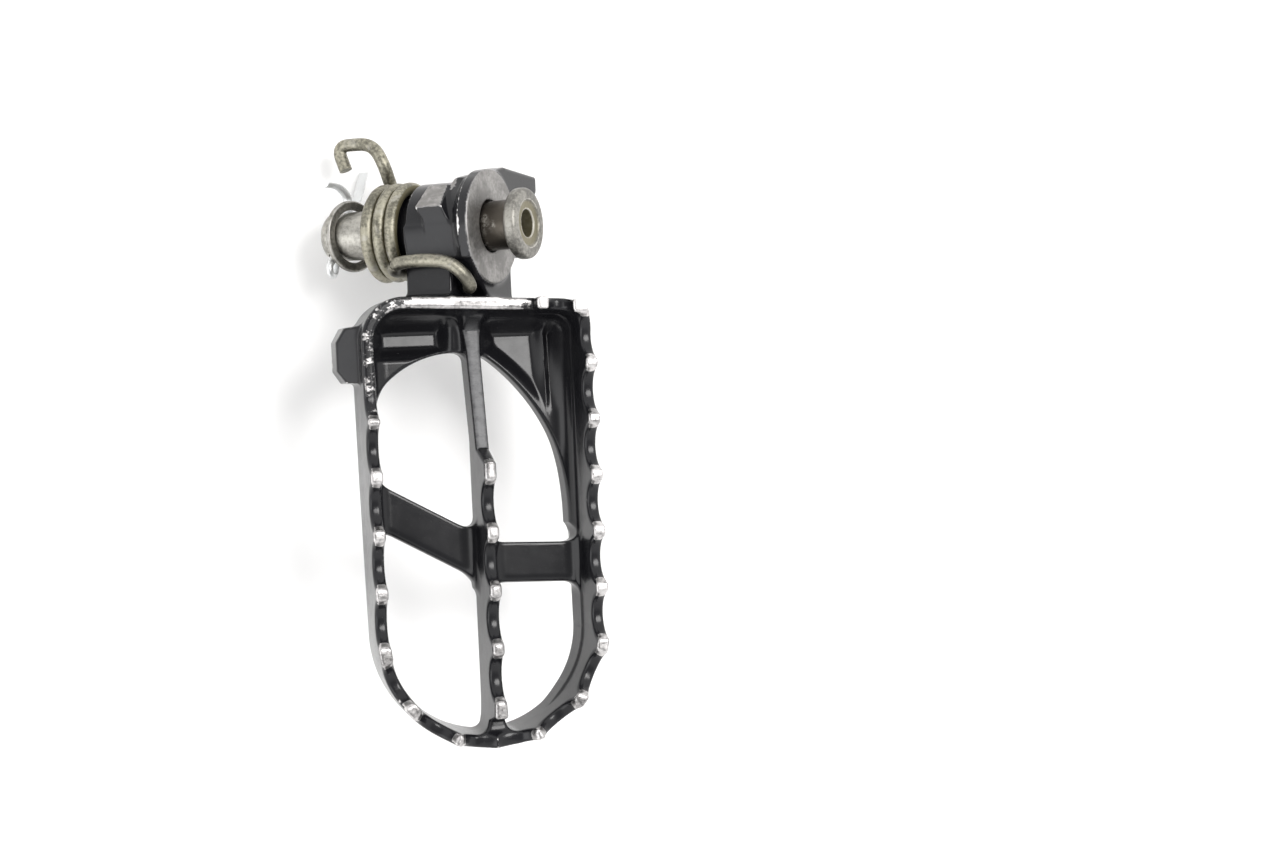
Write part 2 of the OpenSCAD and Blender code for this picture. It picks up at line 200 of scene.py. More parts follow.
class PegStage(bpy.types.PropertyGroup):
    """Camera, floor and light"""

    camera_roll: angle("Camera roll", "Turn of the view about the peg's length", 17)
    camera_pitch: angle("Camera pitch", "Tip of the view towards the knuckle", -0.46)
    camera_turn: angle("Camera turn", "Turn of the picture", 2.62)
    camera_back: length("Camera distance", "Distance from the pivot", 0.5287, 0.1, 3)
    camera_side: length("Camera sideways", "Pivot from the picture's middle, to the right", -0.03668, -1, 1)
    camera_up: length("Camera up", "Pivot from the picture's middle, upwards", 0.04030, -1, 1)
    lens: bpy.props.FloatProperty(name="Lens", description="Focal length in millimetres", default=73.125)
    floor: paint("Floor", "Pale floor", (0.93, 0.925, 0.92))
    dome: bpy.props.FloatProperty(name="Dome", description="Brightness of the white surround", default=1.3)
    ceiling: share("Ceiling", "Brightness straight above, as a share of the surround", 0.35)
    key: bpy.props.FloatProperty(name="Key", description="Power of the large lamp", default=6.5)


GROUPS = {
    "peg_tread": PegTread, "peg_knuckle": PegKnuckle, "peg_pin": PegPin,
    "peg_spring": PegSpring, "peg_finish": PegFinish, "peg_stage": PegStage,
}


class Millimetres:
    """A property group's lengths in millimetres, and its other values as they are."""

    def __init__(self, group):
        for name, prop in group.bl_rna.properties.items():
            if name not in ("rna_type", "name"):
                value = getattr(group, name)
                setattr(self, name, value / MM if prop.unit == "LENGTH" else value)


# ---------------------------------------------------------------- distance fields

def soft_min(a, b, k):
    h = np.maximum(k - np.abs(a - b), 0.0) / k
    return np.minimum(a, b) - h * h * k * 0.25


def soft_max(a, b, k):
    return -soft_min(-a, -b, k)


def smooth(t):
    t = np.clip(t, 0.0, 1.0)
    return t * t * (3 - 2 * t)


def slab(v, low, high):
    return np.abs(v - (low + high) / 2) - (high - low) / 2


def box_2d(x, y, x0, x1, y0, y1):
    """Distance to an upright rectangle."""
    qx, qy = slab(x, x0, x1), slab(y, y0, y1)
    return np.hypot(np.maximum(qx, 0), np.maximum(qy, 0)) + np.minimum(np.maximum(qx, qy), 0)


def polygon(x, y, points):
    """Distance to a closed outline given by its corners."""
    best = np.full(x.shape, 1e9)
    inside = np.zeros(x.shape, bool)
    for (ax, ay), (bx, by) in zip(points, points[-1:] + points[:-1]):
        ex, ey = bx - ax, by - ay
        wx, wy = x - ax, y - ay
        t = np.clip((wx * ex + wy * ey) / (ex * ex + ey * ey), 0, 1)
        best = np.minimum(best, (wx - ex * t) ** 2 + (wy - ey * t) ** 2)
        above, below, left = y >= ay, y < by, ex * wy > ey * wx
        inside ^= (above & below & left) | ~(above | below | left)
    return np.where(inside, -1.0, 1.0) * np.sqrt(best)


def prism(d, v, low, high, edge):
    """An outline's distance given a height along v, with its edges eased."""
    return soft_max(d, slab(v, low, high), edge)


def local(p):
    """Coordinates along and about the pivot axis."""
    return p @ ACROSS, p[:, 1], p @ ALONG


def near(p, low, high, shape, reach=4.0):
    """The shape's distance for a block of points, or a safe lower bound where the whole block is far from it."""
    gap = np.maximum(np.asarray(low) - p.max(0), p.min(0) - np.asarray(high)).max()
    return shape(p) if gap < reach else np.full(len(p), gap)


def by_blocks(field, p, size=8.0):
    """Evaluates a field block by block, so that far features can be skipped."""
    key = np.floor(p / size).astype(np.int64) + 500
    code = (key[:, 0] * 1000 + key[:, 1]) * 1000 + key[:, 2]
    order = np.argsort(code, kind="stable")
    out = np.empty(len(p))
    for part in np.split(order, np.flatnonzero(np.diff(code[order])) + 1):
        out[part] = field(p[part])
    return out


def unit(g):
    """Rows of g made one long."""
    return g / np.maximum(np.linalg.norm(g, axis=1, keepdims=True), 1e-9)


def slope(field, p):
    """Direction in which a field grows, by central differences."""
    h = SLOPE_STEP
    return unit(np.stack([by_blocks(field, p + h * e) - by_blocks(field, p - h * e) for e in np.eye(3)], 1))


def settle(field, p, rounds=2):
    """Moves points onto the surface of a field."""
    for _ in range(rounds):
        here = by_blocks(field, p)
        ahead = unit(np.stack([by_blocks(field, p + SLOPE_STEP * e) - here for e in np.eye(3)], 1))
        p = p - ahead * np.clip(here, -0.3, 0.3)[:, None]
    return p


def surface(field, low, high, step):
    """Vertices and four-sided faces of a field's surface, one vertex in each grid cell that it passes."""
    block = 4
    low = np.asarray(low, float) - 2 * step
    count = (np.ceil((np.asarray(high) + 2 * step - low) / step / block).astype(int) + 1)
    index = np.stack(np.meshgrid(*[np.arange(n) for n in count], indexing="ij"), -1).reshape(-1, 3)
    middle = by_blocks(field, low + (index * block + (block - 1) / 2) * step, 16.0)
    shape = tuple(count * block)
    grid = np.repeat(np.repeat(np.repeat(
        np.where(middle < 0, -9.0, 9.0).reshape(count), block, 0), block, 1), block, 2)
    inner = np.stack(np.meshgrid(*[np.arange(block)] * 3, indexing="ij"), -1).reshape(-1, 3)
    cells = index[np.abs(middle) < 4.6 * step]
    points = (cells[:, None] * block + inner[None]).reshape(-1, 3)
    grid[tuple(points.T)] = by_blocks(field, low + points * step)
    inside = grid < 0
    ids, where, quads = [], [], []
    for axis in range(3):
        a = [slice(None)] * 3
        b = [slice(None)] * 3
        a[axis], b[axis] = slice(0, -1), slice(1, None)
        i = np.stack(np.nonzero(inside[tuple(a)] != inside[tuple(b)]), 1)
        j = i.copy()
        j[:, axis] += 1
        d0, d1 = grid[tuple(i.T)], grid[tuple(j.T)]
        cross = i.astype(float)
        cross[:, axis] += d0 / (d0 - d1)
        u, v = (axis + 1) % 3, (axis + 2) % 3
        corner = []
        for du, dv in ((0, 0), (1, 0), (1, 1), (0, 1)):
            c = i.copy()
            c[:, u] -= du
            c[:, v] -= dv
            corner.append(np.ravel_multi_index(tuple(c.T), shape))
            where.append(cross)
        ids += corner
        quad = np.stack(corner, 1)
        flip = d0 > 0
        quad[flip] = quad[flip][:, ::-1]
        quads.append(quad)
    every = np.concatenate(ids)
    used, slot = np.unique(every, return_inverse=True)
    where = np.concatenate(where)
    number = np.bincount(slot)
    verts = np.stack([np.bincount(slot, where[:, k]) / number for k in range(3)], 1)
    faces = np.searchsorted(used, np.concatenate(quads))
    return low + verts * step, faces


# ---------------------------------------------------------------- meshes

def mesh_from(name, verts_mm, faces):
    """A mesh in metres from points in millimetres and faces of one size."""
    mesh = bpy.data.meshes.new(name)
    sides = faces.shape[1]
    mesh.vertices.add(len(verts_mm))
    mesh.vertices.foreach_set("co", (verts_mm * MM).astype(np.float32).ravel())
    mesh.loops.add(faces.size)
    mesh.loops.foreach_set("vertex_index", faces.astype(np.int32).ravel())
    mesh.polygons.add(len(faces))
    mesh.polygons.foreach_set("loop_start", np.arange(0, faces.size, sides, dtype=np.int32))
    mesh.update(calc_edges=True)
    mesh.validate()
    return mesh


def place(name, mesh):
    piece = bpy.data.objects.new(name, mesh)
    bpy.context.scene.collection.objects.link(piece)
    return piece


def baked(piece):
    """The piece's evaluated mesh as its plain mesh, with its modifiers gone."""
    bpy.context.view_layer.update()
    made = bpy.data.meshes.new_from_object(
        piece.evaluated_get(bpy.context.evaluated_depsgraph_get()))
    piece.modifiers.clear()
    old, piece.data = piece.data, made
    bpy.data.meshes.remove(old)
    return piece


def points_of(mesh):
    co = np.empty(len(mesh.vertices) * 3, np.float32)
    mesh.vertices.foreach_get("co", co)
    return co.reshape(-1, 3).astype(float) / MM


def write_values(mesh, name, values):
    attribute = mesh.attributes.new(name, "FLOAT", "POINT")
    attribute.data.foreach_set("value", np.clip(values, 0, 1).astype(np.float32))


def solid_piece(name, field, low, high, step, keep, exposed=None):
    """A piece meshed from a field: fine grid, flat areas thinned, every vertex put back on the surface, and the
    field's own slope as its normals. Sharp and hollow places are kept as the values edge and hollow."""
    verts, faces = surface(field, low, high, step)
    piece = place(name, mesh_from(name, settle(field, verts), faces))
    if keep < 1:
        thin = piece.modifiers.new("thin", "DECIMATE")
        thin.ratio = keep
        baked(piece)
    mesh = piece.data
    p = settle(field, points_of(mesh), 1)
    mesh.vertices.foreach_set("co", (p * MM).astype(np.float32).ravel())
    mesh.shade_smooth()
    mesh.update()
    normals = slope(field, p)
    mesh.normals_split_custom_set_from_vertices([tuple(n) for n in normals])
    h = BEND_REACH
    around = sum(by_blocks(field, p + s * h * e) for e in np.eye(3) for s in (-1, 1))
    bend = around - 6 * by_blocks(field, p)
    write_values(mesh, "edge", bend / h * (1.0 if exposed is None else exposed(p)))
    write_values(mesh, "hollow", -bend / h)
    return piece, p, normals


# ---------------------------------------------------------------- the casting's shape

class Casting:
    """Distance field of the cast peg, in millimetres."""

    SIDE_LUG = [(0, -19.2), (-2.2, -19.6), (-3.8, -22.4), (-3.8, -28.2), (-2.2, -30.6), (0, -30.8)]
    NECK = [(-9.4, 0), (9.4, 0), (14.4, -5.5), (13.6, -15.4), (-10.2, -15.4), (-9.7, -6)]
    ARM = [(-3.7, 9.8), (9.2, 12.6), (24.3, 11.5), (24.3, 8.2), (19.5, 3.2), (15.4, -1.2),
           (14.4, -6), (0, -6), (-6, 5)]
    STOP_LUG = [(-10.9, 4.05), (-5.7, 8.65), (-3.2, 7), (-4, 0), (-9.15, -1.9)]
    LEG_NOTCH = [(-13.2, -7), (-9.3, -7), (-5.4, -11.3), (-2.6, -13.4), (-0.6, -14.8), (-0.6, -20),
                 (-13.2, -20)]
    LUG_CORNER = (-10.9, 4.1)
    LUG_ENDS = (-4.6, 1.5)
    LUG_SLANTS = ((0.3963, -0.3173, -0.8615), (-0.0771, 0.2773, 0.9577))

    def __init__(self, tread, knuckle):
        self.t = tread
        self.k = knuckle
        t = tread
        self.tip_c = t.tip + t.half_width
        self.mid_r = t.half_width - t.wall / 2
        self.cut_z = t.scallop_floor + t.scallop_radius
        self.rib_x = 0.8
        self.rib_half = 1.25
        self.arches = ((-2.5, -46.1, 20.8), (-21.1, -59.8, 41.6))
        self.rear = [-38 - (i + 0.5) * t.pitch for i in range(4)]
        self.front = [-23.0] + [-28.4 - (i + 0.5) * t.pitch * 0.987 for i in range(5)]
        self.rib_cuts = [-50 - (i + 0.5) * 11.6 for i in range(4)]
        self.tip_angles = (204.5, 235.5, 262, 278, 304.5, 334)
        self.rib_side = [
            (-14.8, -3), (-26, -1.8), (-43, 2), (-103, 2), (-103, 10.2), (-99.5, 9.8), (-98.6, 14),
            (-47.6, 14), (-44.8, 8), (-21, 2.9), (-18, 5.5), (-14.8, 9.4),
        ]

    def outline(self, p):
        """Plan distance to the outside of the rim, whose walls lean in towards the underside."""
        t = self.t
        x, y, z = p[:, 0] - t.centre_x, p[:, 1], p[:, 2]
        root, tip = math.tan(t.lean_root), math.tan(t.lean_tip)
        lean = root + (tip - root) * np.clip((-20 - y) / 80, 0, 1)
        past = x + 12.3
        yy = y + math.tan(t.wall_slant) * 0.5 * (past + np.sqrt(past * past + 4))
        r = np.where(x < 0, t.rear_corner, t.front_corner)
        qx, qy = np.abs(x) - (t.half_width - r), yy - (t.inboard - r)
        square = np.hypot(np.maximum(qx, 0), np.maximum(qy, 0)) + np.minimum(np.maximum(qx, qy), 0) - r
        round_tip = np.hypot(x, y - self.tip_c) - t.half_width
        return np.where(y < self.tip_c, round_tip, square) + np.maximum(t.tooth_top - z, 0) * lean

    def underside(self, p):
        t = self.t
        return t.rim_low + np.maximum(-48 - p[:, 1], 0) * t.rim_rise / 56

    def scallop(self, p, along, centre):
        """Round cut across a wall, centred on a place along it."""
        return np.hypot(along - centre, p[:, 2] - self.cut_z) - self.t.scallop_radius

    def rim(self, p, out):
        t = self.t
        x, y, z = p.T
        ledge = 0.35 * smooth((5.4 - z) / 0.9) * smooth((x - 12) / 4)
        d = soft_max(out, -(out + t.wall + ledge), 0.7)
        d = soft_max(d, z - t.tooth_top, 0.5)
        cut = np.full(len(p), 9.0)
        for c in self.rear:
            cut = np.minimum(cut, np.maximum(self.scallop(p, y, c), x + 10))
        for c in self.front:
            cut = np.minimum(cut, np.maximum(self.scallop(p, y, c), 12 - x))
        dx, dy = x - t.centre_x, y - self.tip_c
        for a in self.tip_angles:
            ca, sa = math.cos(math.radians(a)), math.sin(math.radians(a))
            across = self.scallop(p, dy * ca - dx * sa, 0.0)
            cut = np.minimum(cut, np.maximum(across, self.mid_r - 5 - (dx * ca + dy * sa)))
        band = np.maximum(np.maximum(x - 11.9, -33.5 - y), t.scallop_floor - z)
        band = np.minimum(band, np.maximum(self.scallop(p, y, -33.4), x + 10))
        notch = prism(box_2d(x, z, 16.9, 16.9, t.scallop_floor + 2.4, 40) - 2.4, y, -19.5, -10, 0.4)
        cut = np.minimum(np.minimum(cut, band), notch)
        return soft_max(d, -cut, 0.9)

    def rib(self, p):
        x, y, z = p.T
        flare = 2.0 * np.exp(-np.maximum(-16.4 - y, 0) / 1.7) + 2.0 * np.exp(-np.maximum(y + 102.2, 0) / 1.6)
        draft = np.maximum(self.t.tooth_top - z, 0) * 0.022
        d = polygon(y, z, self.rib_side)
        d = soft_max(d, (np.abs(x - self.rib_x) - self.rib_half - flare - draft) * 0.85, 0.8)
        cut = np.full(len(p), 9.0)
        for c in self.rib_cuts:
            cut = np.minimum(cut, self.scallop(p, y, c))
        return soft_max(d, -cut, 0.9)

    def crossbar(self, p, out):
        x, y, z = p[:, 0] - self.rib_x, p[:, 1], p[:, 2]
        bars = []
        for turn, y0, x0, x1 in ((-29.4, -67.3, -30, 1), (-2.6, -68.0, -1, 30)):
            c, s = math.cos(math.radians(turn)), math.sin(math.radians(turn))
            along, side = x * c + (y - y0) * s, (y - y0) * c - x * s
            round_edge = soft_max(-4.1 - side, z - 4.0, 1.7)
            bar = soft_max(soft_max(round_edge, side - 4.1, 0.5), soft_max(1.4 - z, z - 4.0, 0.5), 0.6)
            bars.append(soft_max(bar, slab(along, x0, x1), 0.5))
        return np.maximum(soft_min(bars[0], bars[1], 0.6), out + 1.2)

    def web(self, p, out):
        x, y, z = p.T
        left = np.hypot(x - self.arches[0][0], y - self.arches[0][1]) - self.arches[0][2]
        right = np.hypot(x - self.arches[1][0], y - self.arches[1][1]) - self.arches[1][2]
        left = np.minimum(left, y - self.arches[0][1])
        right = np.minimum(right, y - self.arches[1][1])
        opening = np.where(x < self.rib_x, left, right)
        rear = box_2d(x, y, -17.4, -5.4, -24.4, -20.6) - 1.2
        land = 1.6 - right
        front = soft_max(box_2d(x, y, 5.6, 14.4, -38, -21.6) - 1.2, land, 0.8)
        strip = soft_max(box_2d(x, y, 17.2, 17.5, -36.9, -22.1) - 0.75, -0.3 - right, 0.5)
        pocket = np.minimum(np.minimum(rear, front), strip)
        floor = np.clip(1.3 - 0.147 * (y + 38), -1.1, 1.3)
        top = 1.5 - (1.5 - floor) * smooth((1.5 - pocket) / 3.6)
        d = soft_max(out + 1.2, -opening, 0.6)
        return soft_max(d, (z - top) * 0.8, 0.8)

    def side_lug(self, p):
        x0 = self.t.centre_x - self.t.half_width
        x, y, z = p.T
        d = polygon(x, y, [(x0 + a + (1.5 if a == 0 else 0), b) for a, b in self.SIDE_LUG])
        roof = (z - 3.6) * math.cos(math.radians(34)) - (x - x0 + 4) * math.sin(math.radians(34))
        return soft_max(soft_max(d, -2.0 - z, 0.5), soft_max(roof, z - 6.4, 0.5), 0.5)

    def knuckle(self, p):
        k = self.k
        a, y, s = local(p)
        r = np.hypot(a, y)
        start = k.spring_side
        cone = k.barrel_radius + (k.face_radius - k.barrel_radius) * np.clip((s - 3.2) / 2, 0, 1)
        barrel = soft_max((r - cone) * 0.85, slab(s, start, k.face_place), 0.5)
        boss = soft_max(r - k.boss_radius, slab(s, start - k.boss_length, start + 3), 0.6)
        d = soft_min(barrel, boss, 1.2)
        neck = prism(polygon(a, y, self.NECK), s, start, 6.6, 0.8)
        arm = prism(polygon(a, y, self.ARM), s, 1.2, 6.4, 0.9)
        lug = polygon(a, y, self.STOP_LUG)
        for end, (by_a, by_y, by_s) in zip(self.LUG_ENDS, self.LUG_SLANTS):
            slant = by_a * (a - self.LUG_CORNER[0]) + by_y * (y - self.LUG_CORNER[1]) + by_s * (s - end)
            lug = soft_max(lug, slant, 0.45)
        d = soft_min(soft_min(d, neck, 1.6), arm, 1.8)
        d = soft_min(d, lug, 1.0)
        d = np.maximum(d, s - k.face_place)
        z = p[:, 2]
        under = np.minimum(-3.4 - z, -6 - y)
        d = soft_max(d, under, 0.8)
        c50, s50 = math.cos(math.radians(50)), math.sin(math.radians(50))
        up, over = (y + 17.8) * c50 + (z - 5.2) * s50, (z - 5.2) * c50 - (y + 17.8) * s50
        ramp = np.maximum(slab(up, 0, 30), slab(over, 0, 14))
        d = soft_max(d, -ramp, 0.8)
        notch = np.maximum(polygon(a, y, self.LEG_NOTCH), slab(s, 2.6, 11.6))
        d = soft_max(d, -notch, 0.8)
        d = soft_max(d, -15.0 - y, 0.4)
        countersink = np.maximum((r - k.bore - 0.5 + (k.face_place - s)) * 0.7, k.face_place - 0.5 - s)
        hole = np.minimum(r - k.bore, countersink)
        return soft_max(d, -hole, 0.2)

    def tread(self, p):
        out = self.outline(p)
        d = self.rim(p, out)
        d = soft_min(d, near(p, (-30, -61, -4), (30, -12, 3), lambda q: self.web(q, out)), 4.2)
        d = soft_min(d, near(p, (-4, -106, -4), (5, -12, 15), self.rib), 1.8)
        d = soft_min(d, near(p, (-27, -80, 0), (27, -45, 5), lambda q: self.crossbar(q, out)), 3.0)
        d = np.maximum(d, out)
        return soft_max(d, self.underside(p) - p[:, 2], 0.8)

    def __call__(self, p):
        d = near(p, (-30, -107, -5), (30, -11, 16), self.tread)
        d = soft_min(d, near(p, (-29, -33, -4), (-20, -17, 8), self.side_lug), 1.0)
        return soft_min(d, near(p, (-22, -18, -34), (27, 15, 26), self.knuckle), 1.6)

    def exposed(self, p):
        """How much boots, mud and the bracket reach the edges at each place."""
        x, y, z = p.T
        tread = y < self.t.inboard + 1
        reach = 0.12 + 0.88 * smooth((z - 8.2) / 1.2) * tread
        bar = (np.abs(x - self.rib_x) < 2.3) & (y > -46) & (y < -18) & (z > 1.7)
        side = (x < self.t.centre_x - self.t.half_width - 0.6) & (y < -17)
        return np.maximum(np.maximum(reach, 0.85 * bar), np.maximum(0.8 * side, 0.8 * ~tread))

    def scuffed(self, p, n):
        """The dull rubbed top of the low part of the rib."""
        x, y, z = p.T
        top = smooth((n[:, 2] - 0.6) / 0.3) * smooth((-19 - y) / 3) * (y > -46)
        return top * (np.abs(x - self.rib_x) < 2.2) * (z > 2.2)

    def bare(self, p, n):
        """Where the paint has gone down to steel: tooth tops, the inboard band and the ground faces."""
        t, k = self.t, self.k
        x, y, z = p.T
        a, _, s = local(p)
        up = smooth((n[:, 2] - 0.15) / 0.35)
        tread = y < t.inboard + 1
        tooth = smooth((z - 11.8) / 1.3) * smooth((n[:, 2] - 0.15) / 0.45)
        band = smooth((z - 9.7) / 0.5) * up * (y > -37) * (x < 12.5) * (np.abs(z - t.scallop_floor) < 1.2)
        ends = 0.34 + 0.66 * smooth((x + 16) / 10) * smooth((11 - x) / 5)
        disc = smooth((s - k.face_place + 0.3) / 0.25) * (np.hypot(a, p[:, 1]) < k.face_radius + 1)
        lug_n = n @ (ACROSS * -0.6628 + INBOARD * 0.749)
        lug = smooth((lug_n - 0.9) / 0.08) * (s > -5) * (s < 1.8) * (np.hypot(a, y) > 9.6) * (y > 3)
        bare = np.maximum(tooth, band * ends) * tread
        return bare, np.maximum(disc, lug) * ~tread


# ---------------------------------------------------------------- shader groups

def new_group(name, inputs, outputs):
    group = bpy.data.node_groups.new(name, "ShaderNodeTree")
    for label, kind, value in inputs:
        socket = group.interface.new_socket(label, in_out="INPUT", socket_type=kind)
        if value is not None:
            socket.default_value = value
    for label, kind in outputs:
        group.interface.new_socket(label, in_out="OUTPUT", socket_type=kind)
    return group, group.nodes.new("NodeGroupInput"), group.nodes.new("NodeGroupOutput")


def add(tree, kind, settings=(), **values):
    """A node with its settings, and values or links for its inputs by name or number."""
    node = tree.nodes.new(kind)
    for key, value in dict(settings).items():
        setattr(node, key, value)
    for key, value in values.items():
        put(tree, node, key, value)
    return node


def put(tree, node, key, value):
    numbered = key[0] == "_" and key[1:].isdigit()
    socket = node.inputs[int(key[1:]) if numbered else key.replace("_", " ")]
    if isinstance(value, bpy.types.NodeSocket):
        tree.links.new(value, socket)
    else:
        socket.default_value = value


def maths(tree, operation, a, b=0.0, c=0.0, clamp=False):
    node = add(tree, "ShaderNodeMath", {"operation": operation, "use_clamp": clamp}, _0=a, _1=b, _2=c)
    return node.outputs[0]


def blend_of(tree, factor, a, b):
    """A colour between a and b."""
    node = add(tree, "ShaderNodeMix", {"data_type": "RGBA"})
    for index, value in ((0, factor), (6, a), (7, b)):
        if isinstance(value, bpy.types.NodeSocket):
            tree.links.new(value, node.inputs[index])
        else:
            node.inputs[index].default_value = value
    return node.outputs[2]


def band_of(tree, value, low, high, out_low=0.0, out_high=1.0):
    """A value's smooth step from low to high, given out between two levels."""
    node = add(tree, "ShaderNodeMapRange", {"interpolation_type": "SMOOTHSTEP"},
               _0=value, _1=low, _2=high, _3=out_low, _4=out_high)
    return node.outputs[0]


def noise(tree, where, scale, detail=4.0, rough=0.55, distort=0.0):
    node = add(tree, "ShaderNodeTexNoise", (), Vector=where, Scale=scale, Detail=detail,
               Roughness=rough, Distortion=distort)
    return node.outputs["Fac"]


def mottled(tree, grain, colour, low, high):
    """A metal's colour between two shares of itself, following the grain."""
    share_of = band_of(tree, grain.outputs["Value"], 0.38, 0.62)
    return blend_of(tree, share_of, scaled(colour, low), scaled(colour, high))


def stretched(tree, where, scale):
    return add(tree, "ShaderNodeMapping", {"vector_type": "POINT"}, Vector=where, Scale=scale).outputs[0]


def make_chip_group():
    """Worn edges: where Edge is high, broken up by two sizes of noise. Amount lowers the threshold."""
    group, given, out = new_group(
        "Chipped Edges",
        [("Vector", "NodeSocketVector", None), ("Edge", "NodeSocketFloat", 0.0),
         ("Amount", "NodeSocketFloat", 0.5), ("Scale", "NodeSocketFloat", 600.0)],
        [("Mask", "NodeSocketFloat")],
    )
    where = given.outputs["Vector"]
    coarse = noise(group, where, maths(group, "MULTIPLY", given.outputs["Scale"], 0.3), 3, 0.5)
    fine = noise(group, where, given.outputs["Scale"], 5, 0.7)
    rough = maths(group, "MULTIPLY_ADD", maths(group, "SUBTRACT", fine, 0.5), 0.9,
                  maths(group, "MULTIPLY", maths(group, "SUBTRACT", coarse, 0.5), 1.3))
    level = maths(group, "ADD", given.outputs["Edge"], rough)
    limit = maths(group, "SUBTRACT", 1.25, given.outputs["Amount"])
    mask = maths(group, "MULTIPLY", maths(group, "SUBTRACT", level, limit), 7.0, clamp=True)
    group.links.new(mask, out.inputs["Mask"])
    return group


def make_grain_group():
    """Fine grain, pits and broad unevenness, as a height and a value."""
    group, given, out = new_group(
        "Metal Grain",
        [("Vector", "NodeSocketVector", None), ("Scale", "NodeSocketFloat", 900.0),
         ("Pits", "NodeSocketFloat", 0.5)],
        [("Height", "NodeSocketFloat"), ("Value", "NodeSocketFloat")],
    )
    where = given.outputs["Vector"]
    fine = noise(group, where, given.outputs["Scale"], 4, 0.6)
    broad = noise(group, where, maths(group, "MULTIPLY", given.outputs["Scale"], 0.12), 3, 0.5)
    cell = add(group, "ShaderNodeTexVoronoi", {"feature": "F1"}, Vector=where,
               Scale=maths(group, "MULTIPLY", given.outputs["Scale"], 0.55)).outputs["Distance"]
    pit = band_of(group, cell, 0.02, 0.3)
    sunk = maths(group, "MULTIPLY", maths(group, "SUBTRACT", pit, 1.0), given.outputs["Pits"])
    height = maths(group, "ADD", maths(group, "MULTIPLY_ADD", broad, 1.4, fine), sunk)
    group.links.new(height, out.inputs["Height"])
    group.links.new(maths(group, "MULTIPLY_ADD", fine, 0.45, maths(group, "MULTIPLY", broad, 0.55)),
                    out.inputs["Value"])
    return group


def make_dirt_and_shade_group():
    """Grease and dust that gathers where Hollow is high; on the spring it is also painted shade in the grooves
    between the coils.
    """
    group, given, out = new_group(
        "Settled Dirt",
        [("Vector", "NodeSocketVector", None), ("Hollow", "NodeSocketFloat", 0.0),
         ("Amount", "NodeSocketFloat", 0.5), ("Scale", "NodeSocketFloat", 250.0)],
        [("Mask", "NodeSocketFloat")],
    )
    patch = noise(group, given.outputs["Vector"], given.outputs["Scale"], 5, 0.65, 0.4)
    level = maths(group, "ADD", given.outputs["Hollow"], maths(group, "SUBTRACT", patch, 0.5))
    limit = maths(group, "SUBTRACT", 1.0, given.outputs["Amount"])
    mask = maths(group, "MULTIPLY", maths(group, "SUBTRACT", level, limit), 2.6, clamp=True)
    group.links.new(mask, out.inputs["Mask"])
    return group


SHARED = {}


def shared(tree, name, **values):
    """A placed copy of one of the shared groups."""
    makers = {"chips": make_chip_group, "grain": make_grain_group, "dirt": make_dirt_and_shade_group}
    if name not in SHARED:
        SHARED[name] = makers[name]()
    node = tree.nodes.new("ShaderNodeGroup")
    node.node_tree = SHARED[name]
    for key, value in values.items():
        put(tree, node, key, value)
    return node


def new_material(name):
    material = bpy.data.materials.new(name)
    material.use_nodes = True
    tree = material.node_tree
    tree.nodes.clear()
    out = tree.nodes.new("ShaderNodeOutputMaterial")
    shader = tree.nodes.new("ShaderNodeBsdfPrincipled")
    tree.links.new(shader.outputs[0], out.inputs[0])
    where = tree.nodes.new("ShaderNodeTexCoord").outputs["Object"]
    return material, tree, shader, where


def value_of(tree, name):
    return add(tree, "ShaderNodeAttribute", {"attribute_name": name}).outputs["Fac"]


def bump(tree, shader, height, strength, distance):
    node = add(tree, "ShaderNodeBump", (), Height=height, Strength=strength, Distance=distance)
    tree.links.new(node.outputs[0], shader.inputs["Normal"])


def rgba(colour):
    return (*colour, 1.0)


def scaled(colour, k):
    return (*[c * k for c in colour], 1.0)


